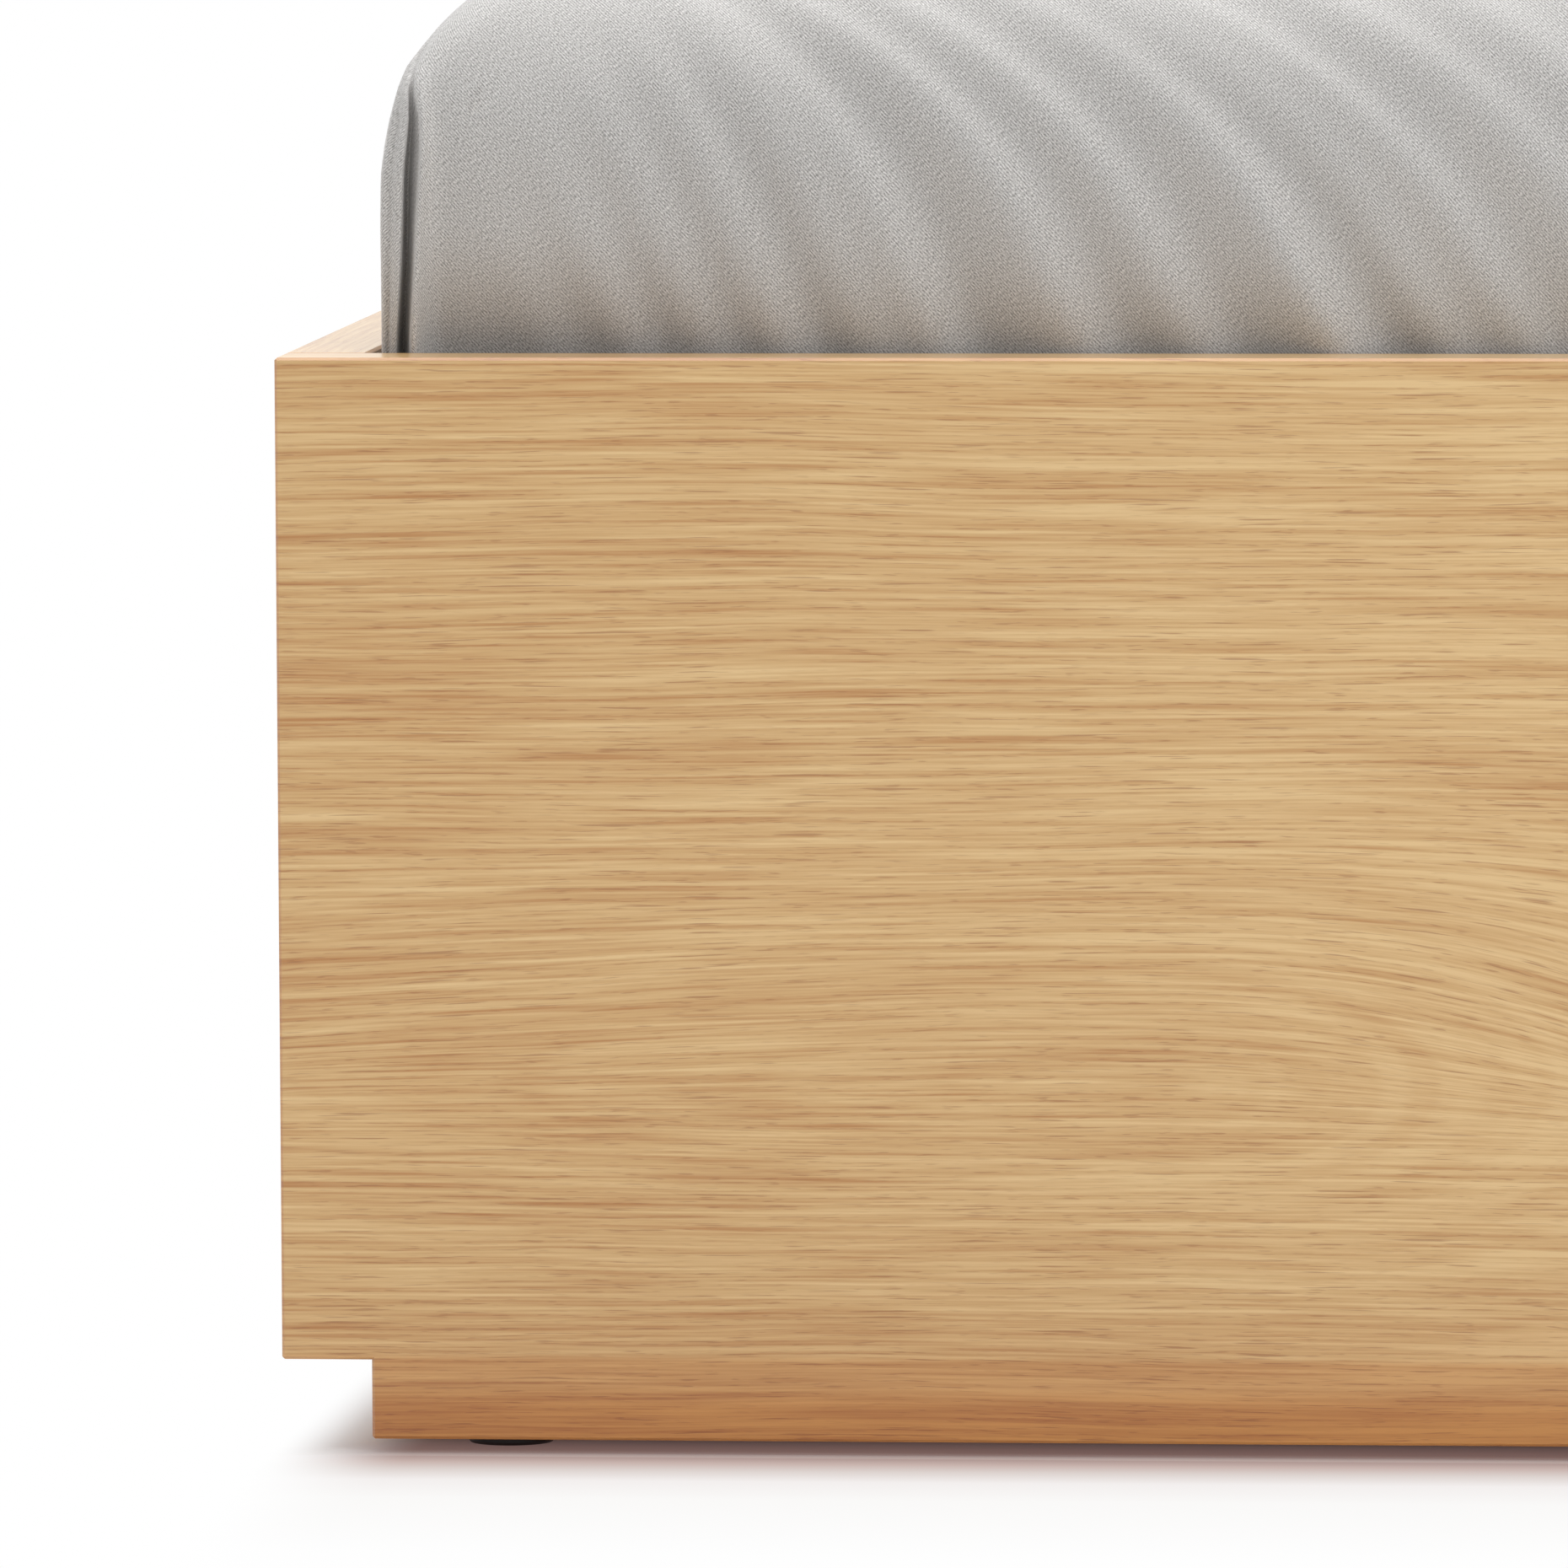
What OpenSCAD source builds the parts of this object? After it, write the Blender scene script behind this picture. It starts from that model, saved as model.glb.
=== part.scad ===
// Platform bed: an oak-veneered box frame on levelling glides, a slatted base, and a mattress in a fitted sheet.
// Millimetres. X runs across the bed, Y along it with the foot end at -Y, and Z up from the floor.

/* [Mattress] */
// Width of the mattress
mattress_w = 1600; // [1200:10:2000]
// Length of the mattress
mattress_l = 2000; // [1900:10:2200]
// Height of the made-up mattress over the slats
mattress_h = 247; // [220:1:280]
// Radius where the sides roll over into the top
edge_round = 90.5; // [60:0.5:100]
// Radius of the mattress's bottom edge
base_round = 10; // [6:1:15]
// Radius of the mattress's upright corners
corner_round = 60; // [55:1:90]
// Rise of the top from its edge to its middle
crown = 4; // [2:1:15]
// Distance over which the top rises
crown_run = 420; // [200:10:460]
// Thickness of the mattress cover
cover_t = 3; // [2:0.5:5]
// Width of the cover's turn under the mattress
cover_turn = 60; // [40:5:90]

/* [Fitted sheet] */
// Thickness of the sheet
sheet_t = 1.5; // [1:0.1:2]
// Width of the sheet's turn under the mattress
sheet_turn = 120; // [80:5:200]
// Radius of the sheet's upright corners
sheet_corner = 10; // [8:0.5:14]
// Depth of the pleat that takes up the sheet at each corner
pleat_depth = 13; // [6:1:16]
// Drop of the pleat's top below the top of the bed
pleat_drop = 51; // [35:1:70]
// Height over which the pleat opens to its full depth
pleat_fade = 45; // [30:1:60]

/* [Boards] */
// Gap between the mattress and the boards
fit_gap = 5; // [3:0.5:10]
// Thickness of the end boards and side panels
board_t = 30; // [26:1:36]
// Height of the boards' top over the floor
rim_h = 400; // [370:5:440]
// Height of the boards' top over the slats
rim_rise = 90; // [70:5:110]
// Gap between the end boards and the floor
floor_gap = 5; // [4:0.5:8]
// Height of the notch at the end boards' bottom corners
notch_h = 29; // [20:1:38]
// Eased arris of the boards and slats
arris = 1; // [0.5:0.1:2]

/* [Plinths and posts] */
// Setback of the side plinths behind the side panels' inner face
plinth_set = 3; // [1:0.5:6]
// Thickness of the side plinths
plinth_t = 16; // [12:1:18]
// Height of the side plinths
plinth_h = 75; // [65:1:85]
// Width of the posts, across the bed
post_w = 75; // [70:1:90]
// Depth of the posts, along the bed
post_d = 60; // [50:1:80]

/* [Slatted base] */
// Number of slats
slat_n = 13; // [10:1:13]
// Width of a slat
slat_w = 100; // [80:1:110]
// Thickness of a slat
slat_t = 18; // [15:1:22]
// Gap between a slat's end and the side panel
slat_gap = 5; // [2:0.5:8]
// Distance of the first and last slats from the end boards
slat_margin = 20; // [10:1:30]
// Width of the slat rails
rail_w = 40; // [34:1:50]
// Height of the slat rails
rail_h = 42; // [38:1:50]
// Width of the centre beam
beam_w = 40; // [35:1:48]
// Height of the centre beam
beam_h = 60; // [55:1:80]
// Number of legs under the centre beam
leg_n = 3; // [1:1:3]
// Distance between the centre legs
leg_pitch = 600; // [400:10:640]
// Side of the square centre legs
leg_w = 50; // [45:1:60]
// Width of the strap that spaces the slats
strap_w = 20; // [15:1:30]
// Thickness of the strap
strap_t = 1.5; // [1:0.1:2]
// Distance of the strap from the slat rail
strap_in = 60; // [40:1:120]

/* [Beam hangers] */
// Thickness of the hanger plate
hanger_t = 3; // [2:0.5:4]
// Length of beam that a hanger carries
hanger_l = 50; // [35:1:70]
// Height of the hanger's cheeks over its seat
hanger_h = 48; // [42:1:52]
// Width of the hanger's screw flanges
hanger_flange = 25; // [20:1:35]

/* [Levelling glides] */
// Radius of the glide's pad
pad_r = 16; // [12:0.5:20]
// Radius of the glide's stud
stud_r = 4; // [3:0.5:5]
// Length of stud left over the insert when the glide is fully out
stud_hold = 5; // [3:1:10]
// Furthest that a glide screws out
glide_travel = 15; // [8:1:18]
// Distance of the side glides from the side panels' inner face
glide_in_x = 49.5; // [42:0.5:58]
// Distance of the corner glides from the end boards' inner face
glide_in_y = 9; // [8:0.5:30]

/* [Fasteners] */
// Diameter of the post bolts
bolt_d = 8; // [6:1:10]
// Diameter of a bolt head
bolt_head_d = 16; // [13:1:18]
// Thickness of a bolt head
bolt_head_t = 5; // [4:0.5:6]
// Drop of the upper post bolts below the post's top
bolt_drop = 50; // [40:1:60]
// Height between the upper and lower post bolts
bolt_pitch = 90; // [60:1:95]
// Height of the end boards' bolts over the side panels' bolts
bolt_stagger = 25; // [20:1:28]
// Wall of the threaded inserts
insert_wall = 2; // [1:0.5:2.5]
// Length of the threaded inserts
insert_l = 20; // [15:1:22]
// Diameter of the corner dowels
dowel_d = 8; // [6:1:10]
// Length of the corner dowels
dowel_l = 40; // [30:1:46]
// Distance of the dowels from the side panels' top and bottom edges
dowel_in = 50; // [40:1:60]
// Diameter of the wood screws
screw_d = 5; // [4:0.5:6]
// Length of the screws through the slat rails
rail_screw_l = 60; // [54:1:64]
// Number of screws in each slat rail
rail_screw_n = 8; // [6:1:10]
// Distance of the first rail screw from the end board
rail_screw_in = 150; // [140:1:200]
// Length of the screws through the end slats
slat_screw_l = 43; // [35:1:46]
// Length of the screws through the plinths
plinth_screw_l = 38; // [30:1:40]
// Distance between the two plinth screws in a post
plinth_screw_pitch = 30; // [20:1:36]
// Drop of the plinth screws below the plinth's top
plinth_screw_drop = 20; // [14:1:24]
// Length of the hanger screws
hanger_screw_l = 25; // [16:1:26]
// Length of the bolts between beam and legs
leg_bolt_l = 60; // [40:1:80]
// Diameter of a strap tack's head
tack_head_d = 8; // [6:1:10]
// Length of a strap tack
tack_l = 12; // [8:1:14]

/* [Hidden] */
$fn = 48;
eps = 0.01;
// Clearances
seat_gap = 0.3;      // mattress over the slats, and glide pad under its post
thread_gap = 0.05;   // stud or bolt in its threaded insert, all round
drive_gap = 0.1;     // screw, dowel or insert in its hole, all round
bolt_gap = 0.3;      // bolt in the post's through hole, all round
hanger_gap = 0.3;    // beam in its hanger, each side
bolt_short = 2;      // bolt end short of the insert's end
tack_head_t = 0.8;
tack_r = 0.8;
pad_bevel = 1;
stud_room = 10;      // depth of the stud's hole past the stud

// Plan
inner_x = mattress_w / 2 + fit_gap;
inner_y = mattress_l / 2 + fit_gap;
outer_x = inner_x + board_t;
notch_w = board_t + plinth_set;
tongue_h = 2 * notch_h; // up past the eased arris at the notch's top

// Heights
slat_top = rim_h - rim_rise;
slat_z = slat_top - slat_t;
rail_z = slat_z - rail_h;
beam_z = slat_z - beam_h;
panel_z = floor_gap + notch_h;

// Posts and glides
post_x = inner_x - post_w / 2;
post_y = inner_y - post_d / 2;
glide_x = inner_x - glide_in_x;
glide_y = inner_y - glide_in_y;
pad_t = floor_gap - seat_gap;
stud_l = insert_l + glide_travel + stud_hold;
stud_hole_l = stud_l + stud_room;
side_bolt_z = [rail_z - bolt_drop, rail_z - bolt_drop - bolt_pitch];
end_bolt_z = [for (z = side_bolt_z) z + bolt_stagger];
post_ys = [-post_y, 0, post_y];
dowel_z = [panel_z + dowel_in, rim_h - dowel_in];
plinth_screw_z = floor_gap + plinth_h - plinth_screw_drop;
plinth_screw_ys = [for (y = post_ys) for (s = [-0.5, 0.5]) y + s * plinth_screw_pitch];

// Slats, straps, rail screws and centre legs
slat_pitch = (2 * (inner_y - slat_margin) - slat_w) / (slat_n - 1);
slat_ys = [for (i = [0:slat_n - 1]) (i - (slat_n - 1) / 2) * slat_pitch];
end_slat_ys = [slat_ys[0], slat_ys[slat_n - 1]];
rail_x = inner_x - rail_w / 2;
strap_x = inner_x - rail_w - strap_in;
rail_screw_ys = [for (i = [0:rail_screw_n - 1])
    -inner_y + rail_screw_in + i * 2 * (inner_y - rail_screw_in) / (rail_screw_n - 1)];
leg_ys = [for (i = [0:leg_n - 1]) (i - (leg_n - 1) / 2) * leg_pitch];
leg_h = beam_z - floor_gap;

// Beam hangers
beam_end_y = inner_y - hanger_t - hanger_gap;
hanger_in_x = beam_w / 2 + hanger_gap;
hanger_out_x = hanger_in_x + hanger_t;
hanger_screw_x = hanger_out_x + hanger_flange / 2;
hanger_screw_zs = [beam_z + hanger_h / 4, beam_z + hanger_h * 3 / 4];

// Mattress section, in stations of [inset, height, outward part of the normal, upward part]
half_w = mattress_w / 2;
half_l = mattress_l / 2;
base_z = slat_top + seat_gap + sheet_t;
top_z = slat_top + mattress_h - sheet_t;
edge_z = top_z - crown - edge_round;
side_z = base_z + base_round;
side_mid_z = (side_z + edge_z) / 2;
pleat_top = slat_top + mattress_h - pleat_drop;
pleat_start = 20;    // height over which the pleat opens from the bottom edge
sheet_spread = 0.35; // growth of the sheet's corner radius with its inset
sheet_slack = 10;    // least difference between the mattress's corner radius and the sheet's

// Plan of the open pleat, in distances in from the sheet's side face and its end face
pleat_flap = [8, 0.8];
pleat_valley = [9.5, pleat_depth];
pleat_ridge = [12.5, 1.5];
pleat_reach = [5, 12]; // ends of the ridge past the corner's arc

base_arc = [for (a = [-90:30:0])
    [base_round * (1 - cos(a)), side_z + base_round * sin(a), cos(a), sin(a)]];
top_arc = [for (a = [0:15:90])
    [edge_round * (1 - cos(a)), edge_z + edge_round * sin(a), cos(a), sin(a)]];
crown_rise = [for (f = [1 / 3, 2 / 3, 1])
    [edge_round + crown_run * f, top_z - crown * pow(1 - f, 2), 0, 1]];
side_rise = [for (z = [side_z + pleat_start, side_mid_z]) [0, z, 1, 0]];
upper = concat(top_arc, crown_rise);

// Node names
SIDES = ["left", "right"];
SLATS = [for (i = [1:slat_n]) str("slat_", i < 10 ? "0" : "", i)];
LEGS = [for (i = [1:leg_n]) str("centre_leg_", i)];
CENTRE_GLIDES = [for (i = [1:leg_n]) str("centre_glide_", i)];

// Colours
oak = "#C8A573";
pine = "#D9BE8F";
birch = "#E3CFA6";
zinc = "#B9BCC0";
black = "#1E1D1D";
webbing = "#E8E4DA";
foam = "#E9DFC3";
ticking = "#EFEDE8";
satin = "#C9C7C4";

// The right side as modelled, or the left side as its mirror
module side(s) {
    mirror([s < 0 ? 1 : 0, 0, 0]) children();
}

// The head end as modelled, or the foot end as its mirror
module end(s) {
    mirror([0, s < 0 ? 1 : 0, 0]) children();
}

// Turns a part that points up so that it points along +X or +Y
module along_x() {
    rotate([0, 90, 0]) children();
}
module along_y() {
    rotate([-90, 0, 0]) children();
}

// Rectangle with its corners cut off at 45 degrees
module eased_rect(w, h, e) {
    polygon([[e, 0], [w - e, 0], [w, e], [w, h - e], [w - e, h], [e, h], [0, h - e], [0, e]]);
}

// Box with every arris eased
module eased_box(w, l, h) {
    intersection() {
        linear_extrude(h) eased_rect(w, l, arris);
        translate([0, l, 0]) rotate([90, 0, 0]) linear_extrude(l) eased_rect(w, h, arris);
        rotate([90, 0, 90]) linear_extrude(w) eased_rect(l, h, arris);
    }
}

// Countersunk wood screw, its head's face at 0 and its shank running down
module screw(l, gap = 0) {
    translate([0, 0, -l]) cylinder(r = screw_d / 2 + gap, h = l);
    translate([0, 0, -screw_d / 2]) cylinder(r1 = screw_d / 2 + gap, r2 = screw_d + gap, h = screw_d / 2);
}

// Bolt with a flat round head that sits on 0, its shank running down
module bolt(l) {
    cylinder(d = bolt_head_d, h = bolt_head_t);
    translate([0, 0, -l]) cylinder(d = bolt_d, h = l + eps);
}

// Threaded insert whose mouth is at 0, running up
module insert(r, l) {
    difference() {
        cylinder(r = r + thread_gap + insert_wall, h = l);
        translate([0, 0, -eps]) cylinder(r = r + thread_gap, h = l + 2 * eps);
    }
}

// Hole for an insert whose mouth is at 0, running up
module insert_hole(r, l) {
    translate([0, 0, -eps]) cylinder(r = r + thread_gap + insert_wall + drive_gap, h = l + eps);
}

// Places of the bolts into the right side panel, pointing to +X with their mouths at the panel
module side_bolts() {
    for (y = post_ys) for (z = side_bolt_z) translate([inner_x, y, z]) along_x() children();
}

// Places of the bolts into the head board on the right, pointing to +Y with their mouths at the board
module end_bolts() {
    for (z = end_bolt_z) translate([post_x, inner_y, z]) along_y() children();
}

// Places of the two dowels at the head end of the right side panel, pointing to +Y with their middles at the joint
module dowels() {
    for (z = dowel_z) translate([inner_x + board_t / 2, inner_y, z]) along_y() children();
}

// Dowel with its middle at 0
module dowel(gap) {
    translate([0, 0, -dowel_l / 2 - gap]) cylinder(r = dowel_d / 2 + gap, h = dowel_l + 2 * gap);
}

// Places of the screws through the right slat rail, heads towards the middle of the bed
module rail_screw_places() {
    for (y = rail_screw_ys) translate([inner_x - rail_w, y, rail_z + rail_h / 2]) rotate([0, -90, 0]) children();
}

// Places of the screws through the right plinth, heads towards the side panel
module plinth_screw_places() {
    for (y = plinth_screw_ys) translate([inner_x - plinth_set, y, plinth_screw_z]) along_x() children();
}

// Places of the screws through the right ends of the first and last slats
module slat_screw_places() {
    for (y = end_slat_ys) translate([rail_x, y, slat_top]) children();
}

// Places of the head hanger's screws, heads towards the middle of the bed
module hanger_screw_places() {
    for (x = [-hanger_screw_x, hanger_screw_x]) for (z = hanger_screw_zs)
        translate([x, inner_y - hanger_t, z]) rotate([90, 0, 0]) children();
}

// End board at the head end, notched below the side panels
module end_board() {
    color(oak) difference() {
        union() {
            translate([-outer_x, inner_y, panel_z]) eased_box(2 * outer_x, board_t, rim_h - panel_z);
            translate([notch_w - outer_x, inner_y, floor_gap])
                eased_box(2 * (outer_x - notch_w), board_t, tongue_h);
        }
        for (s = [-1, 1]) side(s) {
            end_bolts() insert_hole(bolt_d / 2, insert_l);
            dowels() dowel(drive_gap);
        }
        hanger_screw_places() screw(hanger_screw_l, drive_gap);
    }
}

// Right side panel, butted between the end boards
module side_panel() {
    color(oak) difference() {
        translate([inner_x, -inner_y, panel_z]) eased_box(board_t, 2 * inner_y, rim_h - panel_z);
        side_bolts() insert_hole(bolt_d / 2, insert_l);
        for (e = [-1, 1]) end(e) dowels() dowel(drive_gap);
        rail_screw_places() screw(rail_screw_l, drive_gap);
    }
}

// Right plinth, set back below the side panel
module plinth() {
    color(oak) difference() {
        translate([inner_x - plinth_set - plinth_t, -inner_y, floor_gap]) cube([plinth_t, 2 * inner_y, plinth_h]);
        plinth_screw_places() screw(plinth_screw_l, drive_gap);
    }
}

// Post on the right side at y, with its glide at glide_at
module post(y, glide_at) {
    color(pine) difference() {
        translate([inner_x - post_w, y - post_d / 2, floor_gap]) cube([post_w, post_d, rail_z - floor_gap]);
        translate([inner_x - plinth_set - plinth_t, y - post_d, floor_gap - eps])
            cube([plinth_set + plinth_t + eps, 2 * post_d, plinth_h + eps]);
        translate([-post_w - eps, 0, 0]) side_bolts() cylinder(r = bolt_d / 2 + bolt_gap, h = post_w + 2 * eps);
        for (e = [-1, 1]) end(e) translate([0, -post_d - eps, 0]) end_bolts()
            cylinder(r = bolt_d / 2 + bolt_gap, h = post_d + 2 * eps);
        plinth_screw_places() screw(plinth_screw_l, drive_gap);
        translate([glide_x, glide_at, floor_gap]) glide_hole();
    }
}

// Hole for a glide's insert and stud, its mouth at 0
module glide_hole() {
    insert_hole(stud_r, insert_l);
    cylinder(r = stud_r + bolt_gap, h = stud_hole_l);
}

// Right slat rail, on the posts and screwed to the side panel
module slat_rail() {
    color(pine) difference() {
        translate([inner_x - rail_w, -inner_y, rail_z]) cube([rail_w, 2 * inner_y, rail_h]);
        rail_screw_places() screw(rail_screw_l, drive_gap);
        slat_screw_places() screw(slat_screw_l, drive_gap);
    }
}

// Slat number i, from the foot end
module slat(i) {
    color(birch) difference() {
        translate([slat_gap - inner_x, slat_ys[i] - slat_w / 2, slat_z])
            eased_box(2 * (inner_x - slat_gap), slat_w, slat_t);
        for (s = [-1, 1]) side(s) {
            slat_screw_places() screw(slat_screw_l, drive_gap);
            translate([strap_x, slat_ys[i], slat_z]) tack(drive_gap);
        }
    }
}

// Tack driven up through the strap into a slat's underside at 0
module tack(gap = 0) {
    translate([0, 0, -strap_t - tack_head_t]) {
        cylinder(r = tack_r + gap, h = tack_l + gap);
        cylinder(d = tack_head_d, h = tack_head_t);
    }
}

// Right strap, under all the slats
module slat_strap() {
    color(webbing) difference() {
        translate([strap_x - strap_w / 2, slat_ys[0] - slat_w / 2, slat_z - strap_t])
            cube([strap_w, slat_ys[slat_n - 1] - slat_ys[0] + slat_w, strap_t]);
        for (y = slat_ys) translate([strap_x, y, slat_z]) tack(drive_gap);
    }
}

// Beam under the middle of the slats
module centre_beam() {
    color(pine) difference() {
        translate([-beam_w / 2, -beam_end_y, beam_z]) cube([beam_w, 2 * beam_end_y, beam_h]);
        for (y = leg_ys) translate([0, y, beam_z]) leg_bolt(drive_gap);
    }
}

// Bolt between a leg and the beam, its middle at 0
module leg_bolt(gap = 0) {
    translate([0, 0, -leg_bolt_l / 2 - gap]) cylinder(r = bolt_d / 2 + gap, h = leg_bolt_l + 2 * gap);
}

// Leg under the centre beam at y
module centre_leg(y) {
    color(pine) difference() {
        translate([-leg_w / 2, y - leg_w / 2, floor_gap]) cube([leg_w, leg_w, leg_h]);
        translate([0, y, beam_z]) leg_bolt(drive_gap);
        translate([0, y, floor_gap]) glide_hole();
    }
}

// Folded steel hanger that carries the beam at the head board
module beam_hanger() {
    color(black) difference() {
        union() {
            translate([-hanger_out_x - hanger_flange, inner_y - hanger_t, beam_z - hanger_t])
                cube([2 * (hanger_out_x + hanger_flange), hanger_t, hanger_h + hanger_t]);
            translate([-hanger_out_x, beam_end_y - hanger_l, beam_z - hanger_t])
                cube([2 * hanger_out_x, inner_y - beam_end_y + hanger_l - eps, hanger_t]);
            for (s = [-1, 1]) side(s) translate([hanger_in_x, beam_end_y - hanger_l, beam_z - hanger_t])
                cube([hanger_t, inner_y - beam_end_y + hanger_l - eps, hanger_h + hanger_t]);
        }
        hanger_screw_places() screw(hanger_screw_l, drive_gap);
    }
}

// Levelling glide with its pad on the floor at 0
module glide(x, y) {
    top = pad_t + stud_l;
    color(black) translate([x, y, 0]) rotate_extrude()
        polygon([[0, 0], [pad_r - pad_bevel, 0], [pad_r, pad_bevel], [pad_r, pad_t], [stud_r, pad_t],
            [stud_r, top - pad_bevel], [stud_r - pad_bevel, top], [0, top]]);
}

// Fastener groups
module glide_inserts() {
    color(zinc) {
        for (s = [-1, 1]) side(s) for (y = [-glide_y, 0, glide_y])
            translate([glide_x, y, floor_gap]) insert(stud_r, insert_l);
        for (y = leg_ys) translate([0, y, floor_gap]) insert(stud_r, insert_l);
    }
}
module panel_inserts() {
    color(zinc) for (s = [-1, 1]) side(s) {
        side_bolts() insert(bolt_d / 2, insert_l);
        for (e = [-1, 1]) end(e) end_bolts() insert(bolt_d / 2, insert_l);
    }
}
module panel_bolts() {
    color(zinc) for (s = [-1, 1]) side(s) {
        translate([-post_w, 0, 0]) side_bolts() mirror([0, 0, 1]) bolt(post_w + insert_l - bolt_short);
        for (e = [-1, 1]) end(e) translate([0, -post_d, 0]) end_bolts()
            mirror([0, 0, 1]) bolt(post_d + insert_l - bolt_short);
    }
}
module corner_dowels() {
    color(birch) for (s = [-1, 1]) side(s) for (e = [-1, 1]) end(e) dowels() dowel(0);
}
module rail_screws() {
    color(zinc) for (s = [-1, 1]) side(s) rail_screw_places() screw(rail_screw_l);
}
module hanger_screws() {
    color(zinc) for (e = [-1, 1]) end(e) hanger_screw_places() screw(hanger_screw_l);
}
module leg_bolts() {
    color(zinc) for (y = leg_ys) translate([0, y, beam_z]) leg_bolt();
}
module strap_tacks() {
    color(zinc) for (s = [-1, 1]) side(s) for (y = slat_ys) translate([strap_x, y, slat_z]) tack();
}
module slat_screws() {
    color(zinc) for (s = [-1, 1]) side(s) slat_screw_places() screw(slat_screw_l);
}
module plinth_screws() {
    color(zinc) for (s = [-1, 1]) side(s) plinth_screw_places() screw(plinth_screw_l);
}

// List in the opposite order
function reversed(list) = [for (i = [len(list) - 1:-1:0]) list[i]];

// Number kept between 0 and 1
function share(v) = max(0, min(1, v));

// Point of a corner arc at angle a, as distances in from the side face and from the end face
function arc_point(r, t, a) = [r - (r - t) * cos(a), r - (r - t) * sin(a)];

// Round corner, t below the skin whose radius is r
function round_corner(r, t) = [for (a = [0:15:90]) arc_point(r, t, a)];

// Corner of the sheet, open by p: the side's flap folds round the corner, over a valley, to the end face's ridge
function pleat_corner(r, t, p) =
    [arc_point(r, t, 0), arc_point(r, t, 18), arc_point(r, t, 36), arc_point(r, t, 52),
        (1 - p) * arc_point(r, t, 70) + p * (pleat_flap + [-t, t]),
        (1 - p) * arc_point(r, t, 90) + p * (pleat_valley + [0, t]),
        (1 - p) * [r + pleat_reach[0], t] + p * (pleat_ridge + [t, t]),
        [r + pleat_reach[1], t]];

// Closed ring at height z, from one corner's points and the half sizes of the skin that they are measured from
function ring(corner, w, l, z) = concat(
    [for (c = corner) [w - c[0], l - c[1], z]],
    [for (c = reversed(corner)) [c[0] - w, l - c[1], z]],
    [for (c = corner) [c[0] - w, c[1] - l, z]],
    [for (c = reversed(corner)) [w - c[0], c[1] - l, z]]);

// Ring of the mattress at station s, t inside its surface
function mattress_ring(s, t) =
    ring(round_corner(corner_round, t * s[2]), half_w - s[0], half_l - s[0], s[1] - t * s[3]);

// Opening of the sheet's pleat at height z
function pleat_open(z) = share((pleat_top - z) / pleat_fade) * share((z - side_z) / pleat_start);

// Ring of the sheet at station s, t inside its outer face
function sheet_ring(s, t) =
    let (r = min(sheet_corner + sheet_spread * s[0], corner_round - sheet_slack) + sheet_t * s[2])
    ring(pleat_corner(r, t * s[2], pleat_open(s[1])),
        half_w - s[0] + sheet_t * s[2], half_l - s[0] + sheet_t * s[2], s[1] + (sheet_t - t) * s[3]);

// Triangles between ring k and the next, outwards or inwards
function band(k, n, outwards) = [for (i = [0:n - 1])
    let (a = k * n + i, b = k * n + (i + 1) % n)
    each outwards ? [[a, a + n, b + n], [a, b + n, b]] : [[a, b + n, a + n], [a, b, b + n]]];

// Middle of a ring
function middle(points) = [0, 0, points[0][2]];

// Closed block between its lowest ring and its highest
module block(rings) {
    n = len(rings[0]);
    m = len(rings);
    points = concat([for (r = rings) each r], [middle(rings[0]), middle(rings[m - 1])]);
    polyhedron(points, concat(
        [for (k = [0:m - 2]) each band(k, n, true)],
        [for (i = [0:n - 1]) [m * n, i, (i + 1) % n]],
        [for (i = [0:n - 1]) [m * n + 1, (m - 1) * n + (i + 1) % n, (m - 1) * n + i]]));
}

// Skin between two sets of rings, closed over the top and open inside the first ring
module skin(outer, inner) {
    n = len(outer[0]);
    m = len(outer);
    first_in = m * n;
    tip_out = 2 * m * n;
    points = concat([for (r = outer) each r], [for (r = inner) each r],
        [middle(outer[m - 1]), middle(inner[m - 1])]);
    polyhedron(points, concat(
        [for (k = [0:m - 2]) each band(k, n, true)],
        [for (k = [m:2 * m - 2]) each band(k, n, false)],
        [for (i = [0:n - 1]) [tip_out, (m - 1) * n + (i + 1) % n, (m - 1) * n + i]],
        [for (i = [0:n - 1]) [tip_out + 1, tip_out - n + i, tip_out - n + (i + 1) % n]],
        [for (i = [0:n - 1]) let (j = (i + 1) % n)
            each [[first_in + i, i, j], [first_in + i, j, first_in + j]]]));
}

// Spring and foam block, up to where the sides roll over
module mattress_core() {
    stations = concat(base_arc, [top_arc[0]]);
    color(foam) block([for (s = stations) mattress_ring(s, cover_t)]);
}

// Soft layer over the core, with the rolled edges and the crown
module comfort_layer() {
    color(foam) block([for (s = upper) mattress_ring(s, cover_t)]);
}

// Quilted cover round the sides and over the top, turned under at the bottom
module mattress_cover() {
    stations = concat([[cover_turn, base_z, 0, -1]], base_arc, upper);
    color(ticking) skin([for (s = stations) mattress_ring(s, 0)], [for (s = stations) mattress_ring(s, cover_t)]);
}

// Plain panel that closes the underside inside the cover's turn
module mattress_base() {
    color(ticking) block([for (t = [0, cover_t]) mattress_ring([cover_turn, base_z, 0, -1], t)]);
}

// Fitted sheet over the mattress, with its corner pleats and its turn underneath
module fitted_sheet() {
    stations = concat([[sheet_turn, base_z, 0, -1]], base_arc, side_rise, upper);
    color(satin) skin([for (s = stations) sheet_ring(s, 0)], [for (s = stations) sheet_ring(s, sheet_t)]);
}

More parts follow.
